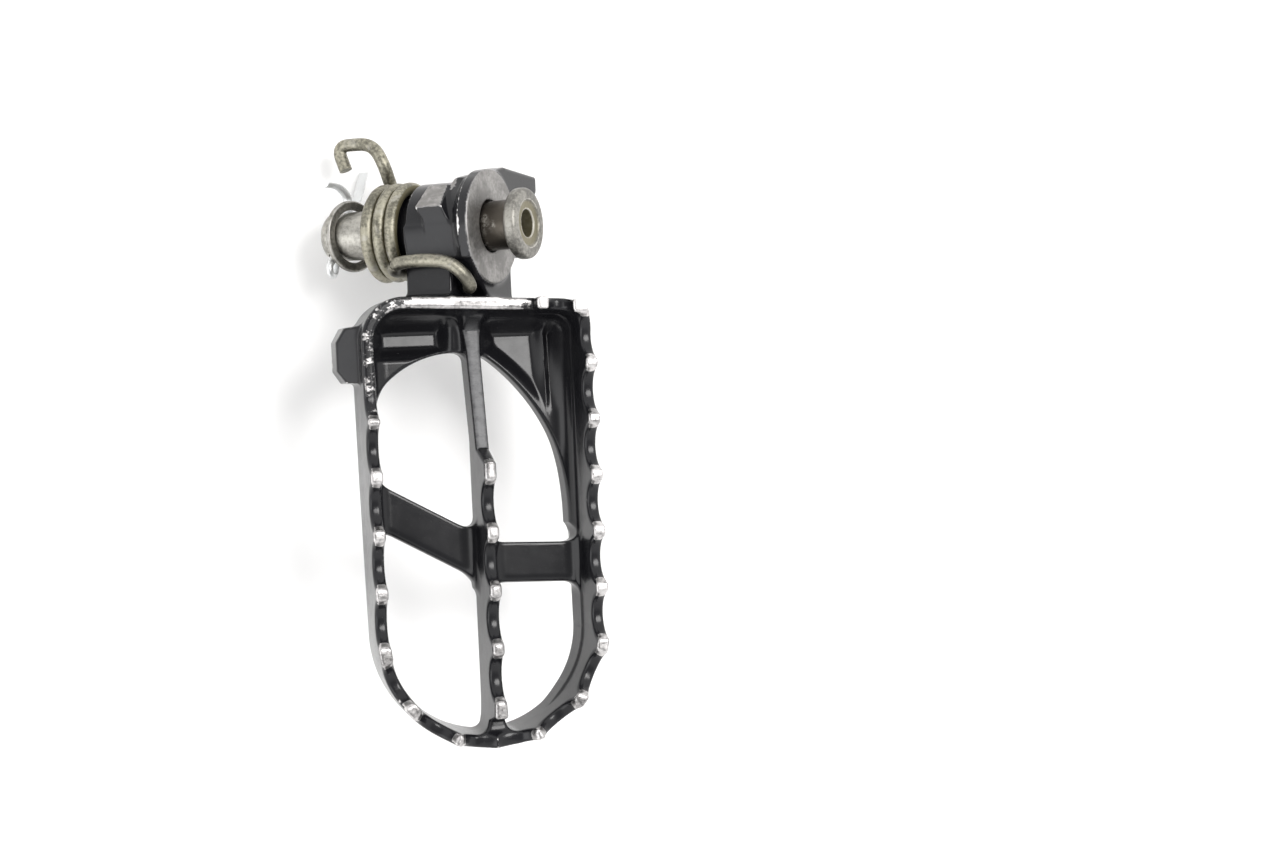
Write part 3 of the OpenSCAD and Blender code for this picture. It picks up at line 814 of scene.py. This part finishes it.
def black_paint(finish):
    """Satin black paint over cast steel, worn through on the teeth and edges."""
    material, tree, shader, where = new_material("black_paint")
    edge, bare, ground = value_of(tree, "edge"), value_of(tree, "bare"), value_of(tree, "ground")
    chips = shared(tree, "chips", Vector=where, Edge=edge, Amount=finish.wear, Scale=900.0).outputs[0]
    patches = noise(tree, stretched(tree, where, (1.0, 1.4, 1.0)), 520.0, 6, 0.68)
    worn = band_of(tree, maths(tree, "ADD", bare, maths(tree, "MULTIPLY_ADD", patches, 0.9, -0.45)), 0.36, 0.46)
    worn = maths(tree, "MULTIPLY", worn, band_of(tree, bare, 0.02, 0.12))
    worn = maths(tree, "MAXIMUM", worn, chips)
    steel = maths(tree, "MAXIMUM", worn, ground)
    grain = shared(tree, "grain", Vector=where, Scale=1500.0, Pits=0.4)
    peel = shared(tree, "grain", Vector=where, Scale=420.0, Pits=0.0)
    scratch = noise(tree, stretched(tree, where, (0.25, 3.0, 1.0)), 2600.0, 3, 0.6)
    dust = band_of(tree, noise(tree, where, 3300.0, 2, 0.5), 0.70, 0.78)
    black = blend_of(tree, maths(tree, "MULTIPLY", dust, 0.35), rgba(finish.black), (0.10, 0.098, 0.094, 1))
    spots = band_of(tree, grain.outputs["Value"], 0.34, 0.62)
    bright = blend_of(tree, spots, scaled(finish.bare, 0.42), scaled(finish.bare, 1.2))
    stains = band_of(tree, noise(tree, where, 700.0, 5, 0.7), 0.55, 0.75)
    face = mottled(tree, grain, finish.ground, 0.72, 1.18)
    clouds = band_of(tree, noise(tree, where, 190.0, 4, 0.6, 0.3), 0.42, 0.62)
    stains = maths(tree, "MAXIMUM", maths(tree, "MULTIPLY", stains, 0.5), maths(tree, "MULTIPLY", clouds, 0.55))
    face = blend_of(tree, stains, face, scaled(finish.ground, 0.36))
    metal = blend_of(tree, ground, bright, face)
    rubbed = maths(tree, "MULTIPLY", value_of(tree, "scuff"), band_of(tree, patches, 0.30, 0.62, 0.45, 1.0))
    black = blend_of(tree, rubbed, black, rgba(finish.scuffed))
    tree.links.new(blend_of(tree, steel, black, metal), shader.inputs["Base Color"])
    tree.links.new(maths(tree, "MULTIPLY", steel, 0.97), shader.inputs["Metallic"])
    gloss = band_of(tree, peel.outputs["Value"], 0.3, 0.7, 0.17, 0.27)
    polish = band_of(tree, grain.outputs["Value"], 0.3, 0.7, 0.26, 0.40)
    matt = maths(tree, "MULTIPLY_ADD", ground, 0.2, polish)
    gloss = maths(tree, "MULTIPLY_ADD", rubbed, 0.22, gloss)
    rough = maths(tree, "ADD", maths(tree, "MULTIPLY", gloss, maths(tree, "SUBTRACT", 1.0, steel)),
                  maths(tree, "MULTIPLY", matt, steel))
    tree.links.new(rough, shader.inputs["Roughness"])
    marks = maths(tree, "MULTIPLY_ADD", scratch, 0.5, grain.outputs["Height"])
    metal_height = maths(tree, "MULTIPLY", marks, steel)
    step = maths(tree, "MULTIPLY", worn, -0.9)
    height = maths(tree, "ADD", maths(tree, "MULTIPLY_ADD", peel.outputs["Height"], 0.16, metal_height), step)
    bump(tree, shader, height, 0.30, 0.00006)
    shader.inputs["Specular IOR Level"].default_value = 0.33
    return material


def spring_steel(finish):
    """Dull spring wire, darker between the coils with greasy dirt and painted shade, and with bright worn
    patches.
    """
    material, tree, shader, where = new_material("spring_steel")
    grain = shared(tree, "grain", Vector=where, Scale=1700.0, Pits=0.7)
    hollow = value_of(tree, "hollow")
    dirt = shared(tree, "dirt", Vector=where, Hollow=hollow, Amount=0.82, Scale=620.0).outputs[0]
    patch = noise(tree, where, 230.0, 4, 0.6, 0.5)
    bright = maths(tree, "MAXIMUM", band_of(tree, patch, 0.56, 0.68), value_of(tree, "rubbed"))
    base = mottled(tree, grain, finish.spring_light, 0.42, 1.3)
    base = blend_of(tree, maths(tree, "MULTIPLY", bright, 0.5), base, (0.44, 0.425, 0.39, 1))
    # Darkens the grooves between the turns and the inner side of the coil: partly grease, partly painted shade
    # where the turns and the boss shade the wire.
    base = blend_of(tree, maths(tree, "MULTIPLY", dirt, 0.86), base, rgba(finish.spring_dirt_and_shade))
    tree.links.new(base, shader.inputs["Base Color"])
    tree.links.new(band_of(tree, dirt, 0.0, 1.0, 0.95, 0.35), shader.inputs["Metallic"])
    tree.links.new(maths(tree, "ADD", band_of(tree, grain.outputs["Value"], 0.3, 0.7, 0.40, 0.58),
                         maths(tree, "MULTIPLY", dirt, 0.18)), shader.inputs["Roughness"])
    bump(tree, shader, grain.outputs["Height"], 0.32, 0.00007)
    return material


def pin_steel(finish):
    """Pin steel: dark scale on the shank, rubbed bright in patches, dull grey head."""
    material, tree, shader, where = new_material("pin_steel")
    grain = shared(tree, "grain", Vector=where, Scale=1500.0, Pits=0.8)
    chips = shared(tree, "chips", Vector=where, Edge=value_of(tree, "edge"), Amount=0.62, Scale=800.0).outputs[0]
    speckle = noise(tree, where, 900.0, 6, 0.75)
    patch = noise(tree, where, 150.0, 3, 0.5)
    rubbed = maths(tree, "MULTIPLY", band_of(tree, speckle, 0.46, 0.60), band_of(tree, patch, 0.45, 0.6))
    head = value_of(tree, "head")
    bright = maths(tree, "MAXIMUM", rubbed, chips)
    shank = blend_of(tree, bright, rgba(finish.pin_dark), rgba(finish.pin_light))
    dull = mottled(tree, grain, finish.pin_light, 0.30, 0.74)
    base = blend_of(tree, head, shank, dull)
    satin = mottled(tree, grain, finish.pin_light, 0.52, 0.95)
    rubbed_tail = maths(tree, "MULTIPLY", value_of(tree, "tail"), band_of(tree, patch, 0.25, 0.45))
    base = blend_of(tree, rubbed_tail, base, satin)
    base = blend_of(tree, maths(tree, "MULTIPLY", value_of(tree, "olive"), 0.75), base, (0.155, 0.135, 0.070, 1))
    base = blend_of(tree, maths(tree, "MULTIPLY", chips, 0.6), base, scaled(finish.pin_light, 1.25))
    tree.links.new(base, shader.inputs["Base Color"])
    tree.links.new(band_of(tree, value_of(tree, "olive"), 0.0, 1.0, 0.93, 0.55), shader.inputs["Metallic"])
    polish = band_of(tree, grain.outputs["Value"], 0.3, 0.7, 0.26, 0.42)
    tree.links.new(maths(tree, "MULTIPLY_ADD", head, 0.12, polish), shader.inputs["Roughness"])
    bump(tree, shader, grain.outputs["Height"], 0.35, 0.00007)
    return material


def dark_steel(finish):
    """Dark oiled washer steel."""
    material, tree, shader, where = new_material("dark_steel")
    grain = shared(tree, "grain", Vector=where, Scale=1300.0, Pits=0.6)
    chips = shared(tree, "chips", Vector=where, Edge=value_of(tree, "edge"), Amount=0.45, Scale=700.0).outputs[0]
    base = mottled(tree, grain, finish.washer, 0.55, 1.25)
    base = blend_of(tree, maths(tree, "MULTIPLY", chips, 0.6), base, (0.45, 0.44, 0.42, 1))
    tree.links.new(base, shader.inputs["Base Color"])
    tree.links.new(band_of(tree, grain.outputs["Value"], 0.2, 0.8, 0.75, 0.95), shader.inputs["Metallic"])
    tree.links.new(band_of(tree, grain.outputs["Value"], 0.3, 0.7, 0.34, 0.52), shader.inputs["Roughness"])
    bump(tree, shader, grain.outputs["Height"], 0.3, 0.00006)
    return material


def zinc(finish):
    """Bright zinc plate with a faint bloom."""
    material, tree, shader, where = new_material("zinc")
    grain = shared(tree, "grain", Vector=where, Scale=2200.0, Pits=0.3)
    hollow = value_of(tree, "hollow")
    bloom = shared(tree, "dirt", Vector=where, Hollow=hollow, Amount=0.35, Scale=600.0).outputs[0]
    base = blend_of(tree, grain.outputs["Value"], scaled(finish.zinc, 0.85), scaled(finish.zinc, 1.12))
    base = blend_of(tree, maths(tree, "MULTIPLY", bloom, 0.4), base, (0.36, 0.35, 0.32, 1))
    tree.links.new(base, shader.inputs["Base Color"])
    shader.inputs["Metallic"].default_value = 0.95
    tree.links.new(band_of(tree, grain.outputs["Value"], 0.3, 0.7, 0.42, 0.52), shader.inputs["Roughness"])
    bump(tree, shader, grain.outputs["Height"], 0.08, 0.00003)
    return material


# ---------------------------------------------------------------- wires by Geometry Nodes

def make_wire_tree():
    """A wire swept along the mesh's own line of edges: Radius, Sides and the Material are its inputs."""
    tree = bpy.data.node_groups.new("Swept Wire", "GeometryNodeTree")
    sockets = {}
    for label, kind, value in (("Geometry", "NodeSocketGeometry", None), ("Radius", "NodeSocketFloat", 0.001),
                               ("Sides", "NodeSocketInt", 20), ("Finish", "NodeSocketMaterial", None)):
        socket = tree.interface.new_socket(label, in_out="INPUT", socket_type=kind)
        if value is not None:
            socket.default_value = value
        sockets[label] = socket.identifier
    tree.interface.new_socket("Geometry", in_out="OUTPUT", socket_type="NodeSocketGeometry")
    given, out = tree.nodes.new("NodeGroupInput"), tree.nodes.new("NodeGroupOutput")
    line = tree.nodes.new("GeometryNodeMeshToCurve")
    thick = tree.nodes.new("GeometryNodeInputNamedAttribute")
    thick.data_type = "FLOAT"
    thick.inputs["Name"].default_value = "thick"
    radius = tree.nodes.new("GeometryNodeSetCurveRadius")
    ring = tree.nodes.new("GeometryNodeCurvePrimitiveCircle")
    sweep = tree.nodes.new("GeometryNodeCurveToMesh")
    sweep.inputs["Fill Caps"].default_value = True
    shade = tree.nodes.new("GeometryNodeSetShadeSmooth")
    real = tree.nodes.new("GeometryNodeRealizeInstances")
    finish = tree.nodes.new("GeometryNodeSetMaterial")
    link = tree.links.new
    link(given.outputs["Geometry"], line.inputs["Mesh"])
    link(line.outputs["Curve"], radius.inputs["Curve"])
    link(thick.outputs["Attribute"], radius.inputs["Radius"])
    link(given.outputs["Radius"], ring.inputs["Radius"])
    link(given.outputs["Sides"], ring.inputs["Resolution"])
    link(radius.outputs["Curve"], sweep.inputs["Curve"])
    link(ring.outputs["Curve"], sweep.inputs["Profile Curve"])
    link(sweep.outputs["Mesh"], shade.inputs["Geometry"])
    link(shade.outputs["Geometry"], real.inputs["Geometry"])
    link(real.outputs["Geometry"], finish.inputs["Geometry"])
    link(given.outputs["Finish"], finish.inputs["Material"])
    link(finish.outputs["Geometry"], out.inputs["Geometry"])
    return tree, sockets


def wire_piece(name, path, radius, sides, material, values):
    """A wire along a path in millimetres, with eased ends. Values holds numbers for each point of the path."""
    steps = np.linalg.norm(np.diff(path, axis=0), axis=1)
    gone = np.concatenate([[0], np.cumsum(steps)])
    from_end = np.minimum(gone, gone[-1] - gone)
    thick = np.sqrt(np.clip(1 - (1 - np.clip(from_end / 0.35, 0, 1)) ** 2 * 0.36, 0, 1))
    mesh = bpy.data.meshes.new(name)
    mesh.from_pydata((path * MM).tolist(), [(i, i + 1) for i in range(len(path) - 1)], [])
    for key, numbers in {**values, "thick": thick}.items():
        attribute = mesh.attributes.new(key, "FLOAT", "POINT")
        attribute.data.foreach_set("value", np.asarray(numbers, np.float32))
    piece = place(name, mesh)
    tree, sockets = make_wire_tree()
    modifier = piece.modifiers.new("wire", "NODES")
    modifier.node_group = tree
    modifier[sockets["Radius"]] = radius * MM
    modifier[sockets["Sides"]] = sides
    modifier[sockets["Finish"]] = material
    baked(piece)
    if not piece.data.materials:
        piece.data.materials.append(material)
    return piece


def arc_corners(corners, radii, steps):
    """A polyline with each inner corner replaced by a smooth bend that starts its radius away."""
    made = [corners[0]]
    for i in range(1, len(corners) - 1):
        b = corners[i]
        back, on = corners[i - 1] - b, corners[i + 1] - b
        p = b + back / np.linalg.norm(back) * radii[i]
        q = b + on / np.linalg.norm(on) * radii[i]
        for t in np.linspace(0, 1, steps):
            made.append((1 - t) ** 2 * p + 2 * t * (1 - t) * b + t * t * q)
    made.append(corners[-1])
    return np.array(made)


def evened(path, spacing):
    """The path with points a steady distance apart."""
    gone = np.concatenate([[0], np.cumsum(np.linalg.norm(np.diff(path, axis=0), axis=1))])
    keep = np.concatenate([[True], np.diff(gone) > 1e-6])
    gone, path = gone[keep], path[keep]
    at = np.linspace(0, gone[-1], max(int(gone[-1] / spacing), 2) + 1)
    return np.stack([np.interp(at, gone, path[:, k]) for k in range(3)], 1)


def relaxed(path, rounds):
    """Rounds off the joints of a path, keeping its ends."""
    for _ in range(rounds):
        path = np.vstack([path[:1], (path[:-2] + 2 * path[1:-1] + path[2:]) / 4, path[-1:]])
    return path


def from_local(q):
    """Points given as down and forward, inboard, along the axis, put in the frame."""
    q = np.asarray(q, float)
    return q[:, :1] * ACROSS + q[:, 1:2] * INBOARD + q[:, 2:3] * ALONG


def spring_path(spring, knuckle):
    """Centre line of the return spring, from the hook's end to the inner leg's end."""
    s1 = knuckle.spring_side - spring.wire - 0.2
    s0 = s1 - spring.turns * spring.pitch
    start = math.radians(-90) - 2 * math.pi * spring.turns

    def coil(t):
        a = start + 2 * math.pi * spring.turns * t
        return np.array([-spring.coil * math.cos(a), spring.coil * math.sin(a), s0 + (s1 - s0) * t])

    c, s = math.cos(start), math.sin(start)
    into_coil = [-spring.coil * c + 2.2 * s, spring.coil * s - 2.4 * c, s0]
    hook = arc_corners([np.array(q, float) for q in (
        [2.6, 14.0, s0 - 8.7], [2.7, 19.3, s0 - 10.7], [2.7, 19.1, s0 - 2.0],
        [3.0, 14.2, s0 + 0.2], into_coil, coil(0))], [0, 2.6, 3.0, 1.5, 1.2, 0], 14)
    leg = arc_corners([np.array(q, float) for q in (
        coil(1), [-12.1, -8.3, s1 - 0.7], [-12.2, -6.9, s1 + 1.0], [-11.9, -6.7, -2.0],
        [-11.3, -7.3, 3.0], [-9.8, -10.1, 5.6], [-7.8, -12.35, 5.9],
        [-6.6, -12.45, 4.9])], [0, 2.2, 1.2, 2.2, 2.0, 1.4, 0.9, 0], 14)
    turns = np.array([coil(t) for t in np.linspace(0, 1, 260)])
    path = relaxed(evened(np.vstack([hook[:-1], turns, leg[1:]]), 0.55), 3)
    return from_local(path), len(evened(hook, 0.55)), len(evened(leg, 0.55))


# ---------------------------------------------------------------- operators

def millimetres(context):
    return {name: Millimetres(getattr(context.scene, name)) for name in GROUPS}


class PEG_OT_casting(bpy.types.Operator):
    """Cast peg: toothed rim, rib, crossbar, web, side lug and hinge knuckle in one painted casting"""

    bl_idname = "peg.casting"
    bl_label = "Build Casting"

    def execute(self, context):
        mm = millimetres(context)
        field = Casting(mm["peg_tread"], mm["peg_knuckle"])
        low, high = np.array(CAST_LOW) / MM - 0.5, np.array(CAST_HIGH) / MM + 0.5
        step, keep = mm["peg_tread"].mesh_step, mm["peg_tread"].mesh_share
        piece, p, normals = solid_piece("cast_peg", field, low, high, step, keep, field.exposed)
        bare, ground = field.bare(p, normals)
        write_values(piece.data, "bare", bare)
        write_values(piece.data, "ground", ground)
        write_values(piece.data, "scuff", field.scuffed(p, normals))
        piece.data.materials.append(black_paint(context.scene.peg_finish))
        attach(piece, "peg")
        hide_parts("peg_casting")
        return {"FINISHED"}


class PEG_OT_pin(bpy.types.Operator):
    """Pivot pin: headed steel pin with a blind hole in its head and a cross hole in its tail"""

    bl_idname = "peg.pin"
    bl_label = "Build Pivot Pin"

    def execute(self, context):
        k = millimetres(context)["peg_pin"]
        end = k.head_place + k.head_thick
        turn = k.split_turn

        def field(p):
            a, y, s = local(p)
            r = np.hypot(a, y)
            shank = soft_max(r - k.shank, slab(s, k.tail, end - 0.6), 0.9)
            taper = (r - k.shank + 1.25 + (k.tail - s) * 1.0) * 0.7
            shank = soft_max(shank, taper, 0.4)
            head = soft_max(r - k.head, slab(s, k.head_place, end), 1.1)
            d = soft_min(shank, head, 0.9)
            dish = soft_max(r - 4.7, end - 0.42 - s, 0.5)
            d = soft_max(d, -dish, 0.35)
            hole = soft_max(r - k.blind_hole, end - k.blind_deep - s, 0.8)
            d = soft_max(d, -hole, 0.35)
            cross = np.hypot(a * math.cos(turn) + y * math.sin(turn), s - k.cross_place) - k.cross_hole
            return soft_max(d, -cross, 0.3)

        low, high = [np.array(v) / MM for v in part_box("pivot_pin")]
        piece, p, _ = solid_piece("pivot_pin_turned", field, low - 0.5, high + 0.5, 0.27, 1.0)
        a, y, s = local(p)
        r = np.hypot(a, y)
        write_values(piece.data, "head", smooth((s - k.head_place + 0.6) / 0.8))
        write_values(piece.data, "tail", smooth((-15 - s) / 2))
        write_values(piece.data, "olive", smooth((4.9 - r) / 0.7) * smooth((s - end + 1.2) / 0.5)
                     + (r < k.blind_hole + 0.2) * (s > end - k.blind_deep - 1) * (s < end - 0.3))
        piece.data.materials.append(pin_steel(context.scene.peg_finish))
        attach(piece, "pin")
        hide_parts("pivot_pin")
        return {"FINISHED"}


class PEG_OT_washer(bpy.types.Operator):
    """Washer: plain dark washer between the spring and the split pin"""

    bl_idname = "peg.washer"
    bl_label = "Build Washer"

    def execute(self, context):
        k = millimetres(context)["peg_pin"]

        def field(p):
            a, y, s = local(p)
            c, sn = math.cos(k.washer_lean), math.sin(k.washer_lean)
            r = np.hypot(a * c + (s - k.washer_place) * sn, y)
            ring = soft_max(r - k.washer, k.washer_hole - r, 0.35)
            return soft_max(ring, np.abs((s - k.washer_place) * c - a * sn) - k.washer_thick / 2, 0.5)

        low, high = [np.array(v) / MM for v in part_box("washer")]
        piece, _, _ = solid_piece("plain_washer", field, low - 0.5, high + 0.5, 0.16, 1.0)
        piece.data.materials.append(dark_steel(context.scene.peg_finish))
        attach(piece, "washer")
        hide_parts("washer")
        return {"FINISHED"}


class PEG_OT_spring(bpy.types.Operator):
    """Return spring: wire coiled round the boss, hooked on the bracket and bearing on the peg"""

    bl_idname = "peg.spring"
    bl_label = "Build Return Spring"

    def execute(self, context):
        mm = millimetres(context)
        spring, knuckle = mm["peg_spring"], mm["peg_knuckle"]
        path, hook, leg = spring_path(spring, knuckle)
        n = len(path)
        place_on = np.arange(n)
        rubbed = smooth((place_on - (n - leg)) / 8) * 0.15
        in_coil = smooth((place_on - hook) / 6) * smooth((n - leg - place_on) / 6)
        material = spring_steel(context.scene.peg_finish)
        piece = wire_piece("return_spring_wire", path, spring.wire, spring.sides, material, {"rubbed": rubbed})
        p = points_of(piece.data)
        nearest = np.array([np.argmin(((path - q) ** 2).sum(1)) for q in p])
        r = np.hypot(*local(p)[:2])
        # The groove is the inner side of the coil, where the neighbouring turns and the boss shade the wire; the
        # spring material paints it darker there, partly as grease and partly as painted shade.
        groove = 1 - smooth((r - spring.coil - 0.15) / 0.75)
        write_values(piece.data, "hollow", in_coil[nearest] * groove)
        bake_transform(piece)
        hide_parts("return_spring")
        return {"FINISHED"}


class PEG_OT_split_pin(bpy.types.Operator):
    """Split pin: half-round wire folded into an eye, with its two legs bent apart"""

    bl_idname = "peg.split_pin"
    bl_label = "Build Split Pin"

    def execute(self, context):
        k = millimetres(context)["peg_pin"]
        eye_y, eye_r = -7.7, 1.0
        up = arc_corners([np.array(q, float) for q in (
            [2.4, 17.9, 0], [2.6, 11.4, 0], [0, 7.2, 0], [0, -5.2, 0])], [0, 2, 2, 0], 10)
        away = arc_corners([np.array(q, float) for q in (
            [0, -5.2, 0], [0, 9.8, 0], [-5.5, 9.7, 0], [-10.4, 6.9, 0])], [0, 2.6, 2.4, 0], 10)
        eye = [[eye_r * math.cos(a), eye_y + eye_r * math.sin(a), 0]
               for a in np.linspace(math.radians(62), math.radians(-242), 40)]
        flat = relaxed(evened(np.vstack([up, eye, away]), 0.3), 6)
        ahead = np.gradient(flat, axis=0)
        ahead /= np.linalg.norm(ahead, axis=1, keepdims=True)
        side = np.stack([-ahead[:, 1], ahead[:, 0], 0 * ahead[:, 0]], 1)
        round_part = np.linspace(math.radians(4), math.radians(176), 13)
        section = [(math.sin(a) * k.split, math.cos(a) * k.split) for a in round_part]
        ring = len(section)
        slim = 1 - 0.3 * smooth((-5.6 - flat[:, 1]) / 0.8)
        rows = np.array([[c + side[i] * (0.03 + u) + np.array([0, 0, v * slim[i]]) for u, v in section]
                         for i, c in enumerate(flat)])
        ends = rows[[0, -1]].mean(1)
        turn = k.split_turn
        q = rows.reshape(-1, 3)
        q = np.vstack([q, ends])
        across = q[:, 0] * math.cos(turn) - q[:, 1] * math.sin(turn)
        inboard = q[:, 0] * math.sin(turn) + q[:, 1] * math.cos(turn)
        verts = from_local(np.stack([across, inboard, q[:, 2] + k.cross_place], 1))
        faces = []
        for i in range(len(flat) - 1):
            for j in range(ring):
                a, b = i * ring + j, i * ring + (j + 1) % ring
                faces.append([a, a + ring, b + ring, b])
        last = len(rows) * ring
        start = (len(flat) - 1) * ring
        faces += [[(j + 1) % ring, last, j] for j in range(ring)]
        faces += [[start + j, last + 1, start + (j + 1) % ring] for j in range(ring)]
        mesh = bpy.data.meshes.new("split_pin_wire")
        mesh.from_pydata((verts * MM).tolist(), [], faces)
        mesh.update()
        piece = place("split_pin_wire", mesh)
        recalculate(mesh)
        bevel = piece.modifiers.new("ease", "BEVEL")
        bevel.width, bevel.segments, bevel.angle_limit = 0.00015, 2, math.radians(50)
        baked(piece)
        piece.data.shade_smooth()
        piece.data.materials.append(zinc(context.scene.peg_finish))
        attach(piece, "pin")
        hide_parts("split_pin")
        return {"FINISHED"}


def recalculate(mesh):
    """Turns a closed mesh's faces outwards."""
    b = bmesh.new()
    b.from_mesh(mesh)
    bmesh.ops.remove_doubles(b, verts=b.verts, dist=1e-7)
    bmesh.ops.recalc_face_normals(b, faces=b.faces)
    b.to_mesh(mesh)
    b.free()


def floor_material(colour):
    material, tree, shader, where = new_material("pale_floor")
    cloud = noise(tree, where, 9.0, 3, 0.5)
    tree.links.new(blend_of(tree, cloud, scaled(colour, 0.985), rgba(colour)), shader.inputs["Base Color"])
    shader.inputs["Roughness"].default_value = 0.55
    shader.inputs["Specular IOR Level"].default_value = 0.2
    return material


def soft_lamp(name, where, aim, size, power, tint):
    lamp = bpy.data.lights.new(name, "AREA")
    lamp.shape = "RECTANGLE"
    lamp.size, lamp.size_y = size
    lamp.energy = power
    lamp.color = tint
    holder = bpy.data.objects.new(name, lamp)
    bpy.context.scene.collection.objects.link(holder)
    holder.location = where
    holder.rotation_euler = (Vector(aim) - Vector(where)).to_track_quat("-Z", "Y").to_euler()


class PEG_OT_stage(bpy.types.Operator):
    """Stage: pale floor, soft studio light and the camera above the tread"""

    bl_idname = "peg.stage"
    bl_label = "Build Stage"

    def execute(self, context):
        scene, stage = context.scene, context.scene.peg_stage
        half, z = FLOOR_HALF, CAD_LOW.z - FLOOR_GAP
        mesh = bpy.data.meshes.new("floor")
        corners = [(-half, -half, z), (half, -half, z), (half, half, z), (-half, half, z)]
        mesh.from_pydata(corners, [], [(0, 1, 2, 3)])
        floor = place("floor", mesh)
        mesh.materials.append(floor_material(stage.floor))
        world = bpy.data.worlds.new("white_surround")
        world.use_nodes = True
        sky = world.node_tree
        towards = sky.nodes.new("ShaderNodeTexCoord").outputs["Generated"]
        height = add(sky, "ShaderNodeSeparateXYZ", (), Vector=towards)
        glow = band_of(sky, height.outputs["Z"], 0.72, 0.94, stage.dome, stage.dome * stage.ceiling)
        sky.links.new(glow, sky.nodes["Background"].inputs["Strength"])
        sky.nodes["Background"].inputs["Color"].default_value = (1.0, 1.0, 1.0, 1)
        scene.world = world
        soft_lamp("key", (0.31, 0.23, 0.93), AIM, (0.42, 0.42), stage.key, (1.0, 0.99, 0.98))
        soft_lamp("fill", (-0.9, -0.3, 0.55), AIM, (0.8, 0.8), stage.key * 0.5, (0.98, 0.99, 1.0))
        roll, pitch, turn = stage.camera_roll, stage.camera_pitch, stage.camera_turn
        view = Matrix.Rotation(turn, 3, "Z") @ Matrix.Rotation(-pitch, 3, "X") @ Matrix.Rotation(roll, 3, "Y")
        pivot = Vector((stage.camera_side, stage.camera_up, -stage.camera_back))
        back = view.transposed()
        camera = bpy.data.cameras.new("camera")
        camera.lens, camera.sensor_width = stage.lens, 36.0
        camera.clip_start, camera.clip_end = 0.01, 20.0
        holder = bpy.data.objects.new("camera", camera)
        scene.collection.objects.link(holder)
        holder.matrix_world = Matrix.Translation(-(back @ pivot)) @ back.to_4x4()
        scene.camera = holder
        scene.view_settings.view_transform = "Standard"
        return {"FINISHED"}


OPERATORS = (PEG_OT_stage, PEG_OT_casting, PEG_OT_pin, PEG_OT_washer, PEG_OT_spring, PEG_OT_split_pin)


class PEG_PT_panel(bpy.types.Panel):
    """Foot peg panel in the sidebar"""

    bl_idname = "PEG_PT_panel"
    bl_label = "Foot Peg"
    bl_space_type = "VIEW_3D"
    bl_region_type = "UI"
    bl_category = "Foot Peg"

    def draw(self, context):
        for operator in OPERATORS:
            self.layout.operator(operator.bl_idname)
        for name, group in GROUPS.items():
            box = self.layout.box()
            box.label(text=group.__doc__)
            settings = getattr(context.scene, name)
            for key in group.__annotations__:
                box.prop(settings, key)


CLASSES = (*GROUPS.values(), *OPERATORS, PEG_PT_panel)


def register():
    for cls in CLASSES:
        bpy.utils.register_class(cls)
    for name, group in GROUPS.items():
        setattr(bpy.types.Scene, name, bpy.props.PointerProperty(type=group))


def unregister():
    for name in GROUPS:
        delattr(bpy.types.Scene, name)
    for cls in reversed(CLASSES):
        bpy.utils.unregister_class(cls)


def main():
    register()
    bpy.ops.peg.stage()
    bpy.ops.peg.casting()
    bpy.ops.peg.pin()
    bpy.ops.peg.washer()
    bpy.ops.peg.spring()
    bpy.ops.peg.split_pin()


if __name__ == "__main__":
    main()
